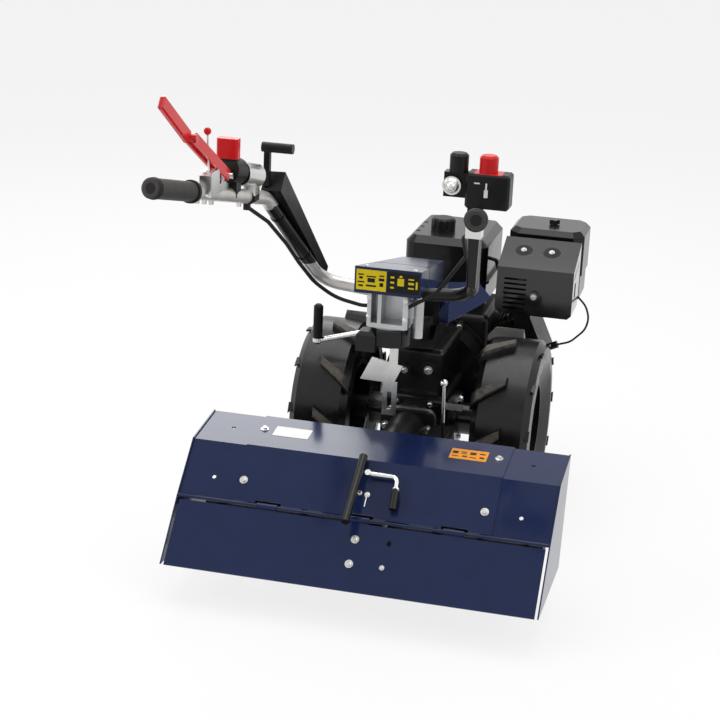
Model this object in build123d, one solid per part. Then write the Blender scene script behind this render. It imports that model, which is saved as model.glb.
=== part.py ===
from build123d import *
import os
from math import cos, hypot, pi, radians, sin

# A two-wheeled walking tractor with a rear rotary tiller under a folded steel hood.
# Millimetres. X points to the machine's right, Y to its front, Z up.
# While it is drawn, the origin is on the floor below the middle of the wheel axle.
# Every piece is moved forward at the end, so that the origin is below the middle of the whole.

os.makedirs("parts", exist_ok=True)

# General clearances
RUN_FIT = 0.05
MOVE_GAP = 6.0
FACE_GAP = 0.6

# Wheels
TYRE_RADIUS = 225.0
TYRE_WIDTH = 140.0
TREAD_CENTRE_X = 212.0
LUG_HEIGHT = 20.0
LUGS_A_SIDE = 11
LUG_WIDTH = 30.0
LUG_SWEEP = 56.0
LUG_DRAFT = 9.0
RIM_RADIUS = 101.6
RIM_WIDTH = 96.0
RIM_WALL = 4.0
RIM_FLANGE = 9.0
TYRE_WALL = 9.0
HUB_RADIUS = 48.0
AXLE_RADIUS = 17.5
AXLE_Z = TYRE_RADIUS

# Transmission case
CASE_HALF_WIDTH = 78.0
CASE_BACK_Y = -118.0
CASE_FRONT_Y = 112.0
CASE_BOTTOM_Z = 158.0
CASE_TOP_Z = 418.0
AXLE_TUBE_RADIUS = 38.0
AXLE_TUBE_END_X = 126.0
BELL_RADIUS = 118.0
BELL_FRONT_Y = 176.0

# Rear power take-off and tiller coupling
PTO_Y = -172.0
PTO_Z = 254.0
PTO_WIDTH = 124.0
PTO_HEIGHT = 78.0
PTO_THICK = 16.0
PTO_BOLT_SPACING = 98.0

# Tiller hood, outer surface in the side view
HOOD_HALF_WIDTH = 400.0
HOOD_SEAM_X = 278.0
HOOD_LAP = 22.0
SHEET = 3.0
HOOD_FRONT_Y, HOOD_FRONT_Z = -376.0, 310.0
HOOD_KNEE_Y, HOOD_KNEE_Z = -518.0, 294.0
FLAP_HINGE_Y, FLAP_HINGE_Z = -618.0, 199.0
FLAP_TIP_Y, FLAP_TIP_Z = -722.0, 83.0
SIDE_FRONT_Y, SIDE_BOTTOM_Z = -438.0, 74.0
FLAP_SIDE_GAP = 5.5
HINGE_PIN_RADIUS = 3.5
KNUCKLE_RADIUS = 6.5
KNUCKLE_LENGTH = 44.0
KNUCKLE_X = 200.0
FLAP_HOLE_X, FLAP_HOLE_Z = 72.0, 167.0
FLAP_HOLE_RADIUS = 5.0
HOOD_HOLE_X = 331.0
HOOD_HOLE_TOP_Y = -445.0
HOOD_HOLE_ALONG = 84.0
HOOD_HOLE_RADIUS = 4.5

# Depth lever and crank on the sloping hood panel
LEVER_X = -18.0
LEVER_ALONG = 14.0
LEVER_STAND = 17.0
LEVER_RADIUS = 9.0
LEVER_END = (-16.0, -677.0, 216.0)
CRANK_X = 63.0
CRANK_ALONG = 37.0
CRANK_END_ALONG = 108.0
CRANK_STAND = 13.0
CRANK_RADIUS = 5.0

# Linkage between the coupling and the handlebar bracket
LINKAGE_Y = -250.0
LINKAGE_THICK = 5.0
LINKAGE_PLATE = [(-74.0, 433.0), (-99.0, 380.0), (-21.0, 378.0), (-2.0, 421.0)]
SHIFT_ROD_TOP = (93.0, LINKAGE_Y, 392.0)
SHIFT_ROD_FOOT = (97.0, LINKAGE_Y, 262.0)
GEAR_LEVER_Y = -150.0
GEAR_LEVER_DROP = 25.0
GEAR_LEVER_FOOT = (-227.0, GEAR_LEVER_Y, 2 * TYRE_RADIUS - GEAR_LEVER_DROP)
GEAR_LEVER_ROOT = (-30.0, GEAR_LEVER_Y, 484.0)
GEAR_GRIP_HEIGHT = 87.0

# Spark plug and its lead
LEAD_Y = 270.0
LEAD_RADIUS = 2.5
LEAD_BEND = 50.0
LEAD_LINE = [(307.0, 484.0), (336.0, 455.0), (346.0, 425.0), (339.0, 394.0), (305.0, 359.0), (268.0, 347.0)]
PLUG_FOOT = (241.0, 334.4)
PLUG_END = (274.0, 349.8)
PLUG_RADIUS = 9.0

# Tiller rotor and its drive case
ROTOR_Y = -480.0
ROTOR_Z = 145.0
TINE_RADIUS = 122.0
ROTOR_TUBE_RADIUS = 24.0
ROTOR_END_GAP = 25.0
ROTOR_HALF_WIDTH = HOOD_HALF_WIDTH - SHEET - ROTOR_END_GAP
TINE_FLANGE_RADIUS = 62.0
TINE_THICK = 7.0
TINE_REACH = 48.0
TINE_FLANGES_A_SIDE = 4
TINES_A_FLANGE = 4
DRIVE_CASE_HALF_WIDTH = 31.0
DRIVE_CASE_RADIUS = 58.0
DRIVE_TUBE_RADIUS = 44.0

# Handlebar, right side; the left side is its mirror image
GRIP_END = (287.0, -1088.0, 971.0)
GRIP_START = (262.0, -944.0, 937.0)
TUBE_UPPER_BEND = (210.0, -650.0, 868.0)
TUBE_LOWER_BEND = (165.0, -375.0, 635.0)
TUBE_FOOT = (44.0, -385.0, 628.0)
TUBE_RADIUS = 14.0
GRIP_RADIUS = 18.5

# Controls on the right handlebar
BOX_X, BOX_Y = 266.0, -850.0
BOX_BOTTOM_Z, BOX_TOP_Z = 939.0, 1003.0
KNOB_RADIUS = 17.0
KNOB_HEIGHT = 31.0
RELEASE_FOOT = (218.0, -700.0, 864.0)
BALL_RADIUS = 9.5

# Controls on the left handlebar
CLUTCH_PIVOT = (-243.0, -829.0, 947.0)
CLUTCH_ELBOW = (-265.0, -959.0, 1039.0)
CLUTCH_TOP = (-278.0, -1061.0, 1118.0)
DRUM_BACK, DRUM_FRONT = (-239.5, -813.0, 953.5), (-234.0, -768.0, 943.0)
DRUM_RADIUS = 26.0
BUTTON_X, BUTTON_Y = -240.0, -800.0
BUTTON_BOTTOM_Z, BUTTON_TOP_Z = 970.0, 1012.0
CLAMP_BACK, CLAMP_FRONT = (-231.0, -760.0, 938.5), (-218.0, -700.0, 922.0)
CLAMP_RADIUS = 24.0
SLEEVE_TOP = (-200.0, -636.0, 900.0)
SLEEVE_END = (-172.0, -352.0, 648.0)
SLEEVE_DIRECTION = (28.0, 284.0, -252.0)

# Captive cables
CABLE_RADIUS = 4.0
CABLE_BEND = 60.0
LEFT_CABLE = [
    (-224.0, -728.0, 866.0), (-207.0, -640.0, 818.0), (-192.0, -560.0, 757.0), (-186.0, -480.0, 697.0),
    (-170.0, -414.0, 640.0), (-128.0, -392.0, 604.0), (-66.0, -405.0, 597.0), (-40.0, -408.0, 600.0)]
RIGHT_CABLE = [
    (208.0, -690.0, 850.0), (186.0, -640.0, 826.0), (183.0, -575.0, 773.0), (150.0, -515.0, 724.0),
    (104.0, -462.0, 656.0), (40.0, -440.0, 612.0)]

# Handlebar column
COLUMN_Y = -405.0
COLUMN_WIDTH = 88.0
COLUMN_BACK_Y = -452.0
COLUMN_FRONT_Y = -347.0
COLUMN_BOTTOM_Z = 566.0
COLUMN_TOP_Z = 652.0
SEAT_RADIUS = 44.0
LOCK_X, LOCK_Y = 61.0, -418.0
LOCK_RADIUS = 11.0
BRACKET_TOP_Z = 560.0

# Blue console over the column
CONSOLE_BACK_Y = -457.0
CONSOLE_WIDTH = 142.0
CONSOLE_TOP_Z = 697.0
CONSOLE_BOTTOM_Z = 640.0
CONSOLE_NOSE_RADIUS = 96.0
CONSOLE_NOSE_GAP = 6.0

# Blue cover in front of the console, and its folded wings
COVER_FRONT_Y = -97.0
COVER_FRONT_Z = 630.0
COVER_FRONT_HALF_WIDTH = 47.0
COVER_DEPTH = 40.0
COVER_POST_Y = -205.0
WING_UPPER_LEFT = (59.0, -79.0, 576.0)
WING_TOP = (120.0, -43.0, 573.0)
WING_CORNER = (154.0, -54.0, 542.0)
WING_LOWER = (119.0, -98.0, 522.0)
WING_TIP = (74.0, -150.0, 501.0)
WING_INNER_TOP = (30.0, -68.0, 538.0)
WING_INNER_TIP = (52.0, -126.0, 494.0)

# Engine
ENGINE_BACK_Y = 182.0
ENGINE_FRONT_Y = 402.0
ENGINE_BASE_Z = 172.0
ENGINE_TOP_Z = 428.0
CRANK_Z = 290.0
ENGINE_LEFT_X = -132.0
ENGINE_RIGHT_X = 112.0
CYLINDER_TILT = 25.0
CYLINDER_LENGTH = 118.0
CYLINDER_WIDE, CYLINDER_TALL = 120.0, 112.0
FIN_REACH = 8.0
HEAD_DEPTH = 34.0
CYLINDER_Y = 304.0
FIN_PITCH = 11.0
FIN_THICK = 3.0
PORT_X = 186.0
EXHAUST_Y = 250.0
INTAKE_Y = 334.0
PORT_TOP_Z = 438.0
STARTER_RADIUS = 112.0
STARTER_DEPTH = 64.0

# Fuel tank
TANK_LEFT_X, TANK_RIGHT_X = -110.0, 94.0
TANK_BACK_Y, TANK_FRONT_Y = 196.0, 452.0
TANK_BOTTOM_Z, TANK_TOP_Z = 446.0, 606.0

CAP_X = -36.0
CAP_FROM_BACK = 106.0
CAP_RADIUS = 30.0
CAP_HEIGHT = 28.0

# Muffler cover and air filter
MUFFLER_LEFT_X, MUFFLER_RIGHT_X = 131.0, 315.0
MUFFLER_BACK_Y, MUFFLER_FRONT_Y = 150.0, 262.0
MUFFLER_BOTTOM_Z, MUFFLER_TOP_Z = 450.0, 565.0
SHIELD_WALL = 2.0
SHIELD_TOP_RISE = 48.0
LOUVRES = 7
LOUVRE_PITCH = 12.0
FILTER_BACK_Y, FILTER_FRONT_Y = 280.0, 440.0
FILTER_TOP_Z = 630.0
FILTER_LEFT_X = 132.0
FILTER_RIGHT_X = 316.0

# Front frame
FRAME_FRONT_Y = 486.0
BUMPER_FRONT_Y = 556.0
BUMPER_Z = 330.0
BUMPER_HALF_WIDTH = 118.0
BUMPER_TUBE_RADIUS = 12.0
HITCH_Z = 138.0
HITCH_HOLE_RADIUS = 8.0
WEIGHT_BOLT_SPACING = 180.0
WEIGHT_BOLT_Z = 250.0
WEIGHT_BOLT_RADIUS = 5.5

REAR_END_Y = GRIP_END[1] - 4.0
CENTRE_Y = (REAR_END_Y + BUMPER_FRONT_Y) / 2


# Alignment of a block or bar that stands on its plane
STANDING = (Align.CENTER, Align.CENTER, Align.MIN)


def save(shape, node):
    """Write one piece, moved so that the origin is below the middle of the machine."""
    export_step(Pos(0, -CENTRE_Y, 0) * shape, "parts/" + node + ".step")


def block(x0, x1, y0, y1, z0, z1):
    """A box given by its two corners."""
    return Pos((x0 + x1) / 2, (y0 + y1) / 2, (z0 + z1) / 2) * Box(x1 - x0, y1 - y0, z1 - z0)


def soft_block(x0, x1, y0, y1, z0, z1, radius):
    """A box with all its edges rounded."""
    body = block(x0, x1, y0, y1, z0, z1)
    return fillet(body.edges(), radius)


def rod(start, end, radius):
    """A round bar from one point to another."""
    a, b = Vector(*start), Vector(*end)
    plane = Plane(origin=a, z_dir=(b - a))
    return plane * Cylinder(radius, (b - a).length, align=STANDING)


def along_x(x0, x1, y, z, radius):
    return rod((x0, y, z), (x1, y, z), radius)


def along_y(y0, y1, x, z, radius):
    return rod((x, y0, z), (x, y1, z), radius)


def along_z(z0, z1, x, y, radius):
    return rod((x, y, z0), (x, y, z1), radius)


def side_profile(points, x0, x1):
    """A closed outline in Y and Z, pulled along X."""
    face = make_face(Plane.YZ * Polyline(*points, close=True))
    return Pos(x0, 0, 0) * extrude(face, amount=x1 - x0, dir=(1, 0, 0))


def offset_line(points, distance):
    """The polyline in Y and Z moved sideways, with its corners mitred."""
    moved = []
    for index, (y, z) in enumerate(points):
        normals = []
        for first in (index - 1, index):
            if 0 <= first < len(points) - 1:
                dy = points[first + 1][0] - points[first][0]
                dz = points[first + 1][1] - points[first][1]
                length = hypot(dy, dz)
                normals.append((-dz / length, dy / length))
        ny = sum(n[0] for n in normals) / len(normals)
        nz = sum(n[1] for n in normals) / len(normals)
        scale = distance / (ny * ny + nz * nz)
        moved.append((y + ny * scale, z + nz * scale))
    return moved


def bent_sheet(points, thickness, x0, x1):
    """A folded sheet whose outer side follows the points; the thickness goes to the left of them."""
    inner = offset_line(points, thickness)
    return side_profile(list(points) + inner[::-1], x0, x1)


def bent_tube(points, radius, bend_radius):
    """A tube along straight runs joined by tangent arcs."""
    path = FilletPolyline(*points, radius=bend_radius)
    start = Vector(*points[0])
    direction = Vector(*points[1]) - start
    section = Plane(origin=start, z_dir=direction) * Circle(radius)
    return sweep(section, path=path)


def flat_bar(start, end, width, thick):
    """A flat bar from one point to another; its thickness is along X."""
    a, b = Vector(*start), Vector(*end)
    plane = Plane(origin=a, x_dir=(1, 0, 0), z_dir=(b - a))
    return plane * Box(thick, width, (b - a).length, align=STANDING)


def front_plate(points, y0, y1):
    """A closed outline in X and Z, pulled along Y."""
    face = make_face(Plane.XZ * Polyline(*points, close=True))
    return Pos(0, y0, 0) * extrude(face, amount=y1 - y0, dir=(0, 1, 0))


def folded_plate(corners, thick):
    """A flat plate over the corners, laid on the plane of its first, third and last one."""
    a, b, c = Vector(*corners[0]), Vector(*corners[-1]), Vector(*corners[2])
    plane = Plane(origin=a, x_dir=(b - a), z_dir=(b - a).cross(c - a))
    flat = [plane.to_local_coords(Vector(*corner)) for corner in corners]
    face = make_face(Polyline(*[(point.X, point.Y) for point in flat], close=True))
    return plane * extrude(face, amount=thick / 2, both=True)


def mirror_x(shape):
    return mirror(shape, about=Plane.YZ)


# Wheels

def tyre_carcass():
    """The tyre without its lugs, turned about X at the origin."""
    half = TYRE_WIDTH / 2
    tread = TYRE_RADIUS - LUG_HEIGHT
    bead = RIM_RADIUS + RIM_WALL
    seat = RIM_WIDTH / 2
    flank = bead + RIM_FLANGE
    wall = TYRE_WALL
    outer = Polyline(
        (-seat, bead), (-seat, flank), (-half + 1, bead + 52), (-half + 3, tread - 16), (-half + 18, tread),
        (half - 18, tread), (half - 3, tread - 16), (half - 1, bead + 52), (seat, flank), (seat, bead),
        close=True)
    inner = Polyline(
        (-seat + wall, bead - 1), (-half + wall + 1, bead + 52), (-half + wall + 8, tread - wall - 6),
        (half - wall - 8, tread - wall - 6), (half - wall - 1, bead + 52), (seat - wall, bead - 1),
        close=True)
    section = make_face(Plane.XY * outer) - make_face(Plane.XY * inner)
    return revolve(section, axis=Axis.X, revolution_arc=360)


def lug(side):
    """One tread bar from just past the middle of the tread to one shoulder, swept back."""
    half = TYRE_WIDTH / 2
    low = TYRE_RADIUS - LUG_HEIGHT - 14
    inner_x, outer_x = -9.0 * side, (half + 3) * side
    bar = Polyline(
        (inner_x, 4), (inner_x, 4 + LUG_WIDTH), (outer_x, LUG_WIDTH * 1.3 - LUG_SWEEP), (outer_x, -LUG_SWEEP),
        close=True)
    face = make_face(Plane.XY.offset(low) * bar)
    return extrude(face, amount=LUG_HEIGHT + 20, dir=(0, 0, 1), taper=LUG_DRAFT)


def tread_envelope():
    """What the lugs are trimmed to: rounded over the tread and sloping at the shoulders."""
    half = TYRE_WIDTH / 2
    low = TYRE_RADIUS - LUG_HEIGHT - 12
    outline = Polyline(
        (-half, low), (-half, TYRE_RADIUS - 15), (-half + 13, TYRE_RADIUS), (half - 13, TYRE_RADIUS),
        (half, TYRE_RADIUS - 15), (half, low), close=True)
    return revolve(make_face(Plane.XY * outline), axis=Axis.X, revolution_arc=360)


def tyre():
    envelope = tread_envelope()
    step = 360.0 / LUGS_A_SIDE
    right = lug(1) & envelope
    left = lug(-1) & envelope
    bars = []
    for index in range(LUGS_A_SIDE):
        bars.append(Rot(index * step, 0, 0) * right)
        bars.append(Rot((index + 0.5) * step, 0, 0) * left)
    return tyre_carcass() + bars


def rim():
    """A pressed wheel: barrel with flanges and a centre disc bolted to the hub."""
    half = RIM_WIDTH / 2
    outer = RIM_RADIUS + RIM_WALL
    edge = half + RIM_WALL
    barrel = Polyline(
        (-half, outer), (-half, outer + RIM_FLANGE), (-edge, outer + RIM_FLANGE), (-edge, outer - RIM_WALL),
        (edge, outer - RIM_WALL), (edge, outer + RIM_FLANGE), (half, outer + RIM_FLANGE), (half, outer),
        close=True)
    body = revolve(make_face(Plane.XY * barrel), axis=Axis.X, revolution_arc=360)
    disc = along_x(8, 8 + RIM_WALL, 0, 0, RIM_RADIUS + 1)
    return body + disc - along_x(0, 20, 0, 0, AXLE_RADIUS + 12)


def wheel_hub():
    """The hub flange behind the rim's disc, on the axle shaft that runs into the case."""
    flange_x = 8.0
    flange = along_x(flange_x - 14, flange_x, 0, 0, HUB_RADIUS)
    spigot = along_x(flange_x, flange_x + RIM_WALL + 10, 0, 0, AXLE_RADIUS + 12 - RUN_FIT)
    sleeve = along_x(AXLE_TUBE_END_X + MOVE_GAP - TREAD_CENTRE_X, flange_x - 14, 0, 0, AXLE_RADIUS + 9)
    shaft = along_x(CASE_HALF_WIDTH + 6 - TREAD_CENTRE_X, 0, 0, 0, AXLE_RADIUS)
    return flange + spigot + sleeve + shaft


def save_wheel(side, name):
    """Each wheel in its place; the left one is the right one mirrored."""
    for node, piece in (("tyre_", tyre()), ("rim_", rim()), ("hub_", wheel_hub())):
        placed = Pos(TREAD_CENTRE_X, 0, AXLE_Z) * piece
        save(placed if side > 0 else mirror_x(placed), node + name)


# Transmission

def gearbox_case():
    """The cast case: a waisted box over the axle, ribbed, with a round bell in front."""
    half = CASE_HALF_WIDTH
    lower = soft_block(-half, half, CASE_BACK_Y, CASE_FRONT_Y, CASE_BOTTOM_Z, CASE_BOTTOM_Z + 150, 14)
    neck = soft_block(-half + 16, half - 16, CASE_BACK_Y + 14, CASE_FRONT_Y - 10,
                      CASE_BOTTOM_Z + 120, CASE_TOP_Z, 12)
    bell = along_y(CASE_FRONT_Y - 24, BELL_FRONT_Y, 0, CRANK_Z, BELL_RADIUS)
    body = lower + neck + bell
    for side in (-1, 1):
        body += along_x(side * (half - 6), side * AXLE_TUBE_END_X, 0, AXLE_Z, AXLE_TUBE_RADIUS)
        body += along_x(side * (half - 6), side * (half + 10), 0, AXLE_Z, AXLE_TUBE_RADIUS + 26)
        body -= along_x(side * (half - 10), side * (AXLE_TUBE_END_X + 5), 0, AXLE_Z, AXLE_RADIUS + RUN_FIT)
    body += along_y(BELL_FRONT_Y - 12, BELL_FRONT_Y, 0, CRANK_Z, BELL_RADIUS + 9)
    for index in range(8):
        angle = radians(22.5 + index * 45)
        x = (BELL_RADIUS + 4) * cos(angle)
        z = CRANK_Z + (BELL_RADIUS + 4) * sin(angle)
        body += along_y(BELL_FRONT_Y - 22, BELL_FRONT_Y, x, z, 10)
    for x in (-52, 52):
        body += block(x - 4, x + 4, CASE_BACK_Y - 8, CASE_BACK_Y + 20,
                      CASE_BOTTOM_Z + 16, CASE_BOTTOM_Z + 132)
    cover = block(-50, 50, CASE_BACK_Y - 10, CASE_BACK_Y + 20, PTO_Z - 48, PTO_Z + 48)
    body += chamfer(cover.edges().filter_by(Axis.Y), 16)
    body += along_y(CASE_BACK_Y - 2, CASE_BACK_Y + 30, 30, CASE_TOP_Z - 44, 20)
    body += along_y(CASE_BACK_Y - 2, CASE_BACK_Y + 30, -26, CASE_TOP_Z - 50, 14)
    boss = along_y(PTO_Y + PTO_THICK, CASE_BACK_Y + 10, 0, PTO_Z, 46)
    return body + boss


def pto_flange():
    """The coupling plate on the rear output, with a bolt eye at each end."""
    plate = block(-PTO_WIDTH / 2, PTO_WIDTH / 2, PTO_Y, PTO_Y + PTO_THICK,
                  PTO_Z - PTO_HEIGHT / 2, PTO_Z + PTO_HEIGHT / 2)
    plate = fillet(plate.edges().filter_by(Axis.Y), 22)
    for side in (-1, 1):
        plate -= along_y(PTO_Y - 5, PTO_Y + PTO_THICK + 5, side * PTO_BOLT_SPACING / 2, PTO_Z, 5.5)
    return plate


def handlebar_bracket():
    """The cast arm that rises rearward from the top of the case to the swivel seat."""
    outline = [
        (CASE_FRONT_Y - 40, CASE_TOP_Z), (CASE_BACK_Y + 20, CASE_TOP_Z), (COLUMN_Y - 34, BRACKET_TOP_Z - 36),
        (COLUMN_Y - 34, BRACKET_TOP_Z), (COLUMN_Y + 40, BRACKET_TOP_Z), (CASE_BACK_Y + 60, CASE_TOP_Z + 72),
        (CASE_FRONT_Y - 40, CASE_TOP_Z + 22)]
    arm = side_profile(outline, -34, 34)
    pocket = [
        (CASE_BACK_Y + 10, CASE_TOP_Z + 26), (COLUMN_Y + 20, BRACKET_TOP_Z - 30),
        (COLUMN_Y + 50, BRACKET_TOP_Z - 14), (CASE_BACK_Y + 50, CASE_TOP_Z + 50)]
    for side in (-1, 1):
        arm -= side_profile(pocket, side * 34 - 12, side * 34 + 12)
    seat = along_z(BRACKET_TOP_Z - 38, BRACKET_TOP_Z, 0, COLUMN_Y, SEAT_RADIUS)
    lock = block(-62, -20, COLUMN_Y - 58, COLUMN_Y - 10, BRACKET_TOP_Z - 46, BRACKET_TOP_Z - 4)
    lock = chamfer(lock.faces().sort_by(Axis.Z)[-1].edges(), 7)
    tail = block(-20, 32, COLUMN_Y - 50, COLUMN_Y - 20, BRACKET_TOP_Z - 34, BRACKET_TOP_Z)
    post = block(-22, 22, COVER_POST_Y - 20, COVER_POST_Y + 20, BRACKET_TOP_Z - 50, CONSOLE_TOP_Z)
    post = post & cover_body(SHEET)
    carrier = block(-46, 46, WING_TIP[1] + 44, WING_TIP[1] + 74, CASE_TOP_Z + 62, WING_INNER_TOP[2])
    return arm + seat + lock + tail + post + carrier


# Blue cover and guards

def cover_body(wall):
    """The long tapered body of console and cover, drawn in by the wall on its top, sides and ends."""
    back, front = CONSOLE_BACK_Y + wall, COVER_FRONT_Y - wall
    half, nose = CONSOLE_WIDTH / 2 - wall, COVER_FRONT_HALF_WIDTH - wall
    low = BRACKET_TOP_Z - 60
    outline = Polyline((-half, back), (half, back), (nose, front), (-nose, front), close=True)
    plan = make_face(Plane.XY.offset(low) * outline)
    sides = [(back, low), (back, CONSOLE_TOP_Z - wall), (front, COVER_FRONT_Z - wall), (front, low)]
    column = extrude(plan, amount=CONSOLE_TOP_Z - low + 10, dir=(0, 0, 1))
    return column & side_profile(sides, -half - 5, half + 5)


def cover_shell(below):
    """The sheet of that body, down to the line given in Y and Z."""
    keep = side_profile(below, -CONSOLE_WIDTH, CONSOLE_WIDTH)
    return (cover_body(0) - cover_body(SHEET)) & keep


def nose_zone(radius):
    """All that lies behind a round front edge about the swivel."""
    low, high = BRACKET_TOP_Z - 100, CONSOLE_TOP_Z + 50
    back = block(-200, 200, CONSOLE_BACK_Y - 50, COLUMN_Y, low, high)
    return back + along_z(low, high, 0, COLUMN_Y, radius)


def body_cover():
    """The fixed cover in front of the console, with a hollow rear edge round the swivel."""
    below = [(COLUMN_Y, COVER_FRONT_Z - 12), (COVER_FRONT_Y + 5, COVER_FRONT_Z - COVER_DEPTH - 6),
             (COVER_FRONT_Y + 5, CONSOLE_TOP_Z + 5), (COLUMN_Y, CONSOLE_TOP_Z + 5)]
    return cover_shell(below) - nose_zone(CONSOLE_NOSE_RADIUS + CONSOLE_NOSE_GAP)


def side_guard():
    """The right guard: two facets of folded sheet below the cover's front end."""
    main = folded_plate([WING_UPPER_LEFT, WING_TOP, WING_CORNER, WING_LOWER, WING_TIP], SHEET)
    return main + folded_plate([WING_UPPER_LEFT, WING_INNER_TOP, WING_INNER_TIP, WING_TIP], SHEET)


# Engine

def engine_block():
    body = soft_block(ENGINE_LEFT_X, ENGINE_RIGHT_X, ENGINE_BACK_Y, ENGINE_FRONT_Y,
                      ENGINE_BASE_Z, ENGINE_TOP_Z, 18)
    face = along_y(BELL_FRONT_Y, ENGINE_BACK_Y + 12, 0, CRANK_Z, BELL_RADIUS - 8)
    return body + face


def cylinder_frame():
    """The plane across the cylinder's foot, its normal pointing out along the bore."""
    tilt = radians(CYLINDER_TILT)
    return Plane(origin=(ENGINE_RIGHT_X - 24, CYLINDER_Y, CRANK_Z + 20), z_dir=(cos(tilt), 0, sin(tilt)),
                 x_dir=(0, 1, 0))


def cylinder():
    """The leaning finned cylinder and its head in one casting."""
    frame = cylinder_frame()
    core = frame * Box(CYLINDER_WIDE, CYLINDER_TALL, CYLINDER_LENGTH, align=STANDING)
    for index in range(int(CYLINDER_LENGTH / FIN_PITCH) - 3):
        height = 34 + index * FIN_PITCH
        fin = Box(CYLINDER_WIDE + 2 * FIN_REACH, CYLINDER_TALL + 4 * FIN_REACH, FIN_THICK, align=STANDING)
        core += frame * Pos(0, 0, height) * fin
    core += block(PORT_X - 20, PORT_X + 20, EXHAUST_Y - 14, EXHAUST_Y + 14, CRANK_Z + 60, PORT_TOP_Z)
    core += block(PORT_X - 22, PORT_X + 22, INTAKE_Y - 20, INTAKE_Y + 20, CRANK_Z + 60, PORT_TOP_Z)
    return core


def exhaust_pipe():
    return along_z(PORT_TOP_Z, MUFFLER_BOTTOM_Z, PORT_X, EXHAUST_Y, 12)


def carburettor():
    """The carburettor between the inlet port and the air filter."""
    throat = along_z(PORT_TOP_Z, MUFFLER_BOTTOM_Z + 10, PORT_X, INTAKE_Y, 18)
    bowl = along_z(PORT_TOP_Z - 26, PORT_TOP_Z + 6, PORT_X, INTAKE_Y + 42, 20)
    link = block(PORT_X - 12, PORT_X + 12, INTAKE_Y + 10, INTAKE_Y + 44, PORT_TOP_Z, PORT_TOP_Z + 14)
    return throat + bowl + link


def head_cover():
    frame = cylinder_frame()
    lid = Box(CYLINDER_WIDE + 8, CYLINDER_TALL + 6, HEAD_DEPTH, align=STANDING)
    lid = frame * Pos(0, 0, CYLINDER_LENGTH) * lid
    return fillet(lid.edges().filter_by(lambda e: e.length < 100), 8)


def recoil_starter():
    """The round fan cover at the front, with a ring of slots, the cord's boss and its pull handle."""
    y0, y1 = ENGINE_FRONT_Y, ENGINE_FRONT_Y + STARTER_DEPTH
    body = along_y(y0, y1, 0, CRANK_Z, STARTER_RADIUS)
    body = fillet(body.faces().sort_by(Axis.Y)[-1].edges(), 20)
    hub = along_y(y1, y1 + 10, 0, CRANK_Z, 48)
    handle = block(-28, 28, y1 + 2, y1 + 16, CRANK_Z + 36, CRANK_Z + 52)
    hub += chamfer(handle.edges().filter_by(Axis.X), 4)
    for index in range(12):
        angle = index * 30
        slot = Pos(0, y1 - 4, 0) * Box(12, 20, 34)
        body -= Pos(0, 0, CRANK_Z) * Rot(0, angle, 0) * Pos(0, 0, 74) * slot
    return body + hub


def fuel_tank():
    """The moulded tank: two halves on a seam flange, with a bevelled right shoulder."""
    x0, x1 = TANK_LEFT_X, TANK_RIGHT_X
    body = block(x0, x1, TANK_BACK_Y, TANK_FRONT_Y, TANK_BOTTOM_Z, TANK_TOP_Z)
    body = fillet(body.edges().filter_by(Axis.Z), 30)
    body = chamfer(body.faces().sort_by(Axis.Z)[-1].edges(), 16)
    seam_z = TANK_BOTTOM_Z + 54
    flange = block(x0 - 7, x1 + 7, TANK_BACK_Y - 7, TANK_FRONT_Y + 7, seam_z, seam_z + 6)
    flange = fillet(flange.edges().filter_by(Axis.Z), 34)
    foot = block(x0 + 30, x1 - 30, TANK_BACK_Y + 30, TANK_FRONT_Y - 60, ENGINE_TOP_Z, TANK_BOTTOM_Z)
    for index in range(3):
        y = TANK_BACK_Y + 60 + index * 46
        body -= block(x0 + 6, x0 + 26, y - 5, y + 5, TANK_TOP_Z - 10, TANK_TOP_Z + 1)
    return body + flange + foot


def fuel_cap():
    """The ribbed filler cap."""
    x, y = CAP_X, TANK_BACK_Y + CAP_FROM_BACK
    cap = along_z(TANK_TOP_Z, TANK_TOP_Z + CAP_HEIGHT, x, y, CAP_RADIUS)
    cap = chamfer(cap.faces().sort_by(Axis.Z)[-1].edges(), 5)
    for index in range(12):
        angle = radians(index * 30)
        cx, cy = x + CAP_RADIUS * cos(angle), y + CAP_RADIUS * sin(angle)
        cap -= along_z(TANK_TOP_Z + 4, TANK_TOP_Z + CAP_HEIGHT + 1, cx, cy, 2.5)
    return cap


def shield_outline(wall):
    """The side view of the muffler's shield, whose top slopes up to the front."""
    y0, y1 = MUFFLER_BACK_Y + wall, MUFFLER_FRONT_Y - wall
    low, top = MUFFLER_BOTTOM_Z + wall, MUFFLER_TOP_Z - wall
    return [(y0, low), (y1, low), (y1, top + SHIELD_TOP_RISE), (y0, top)]


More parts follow.
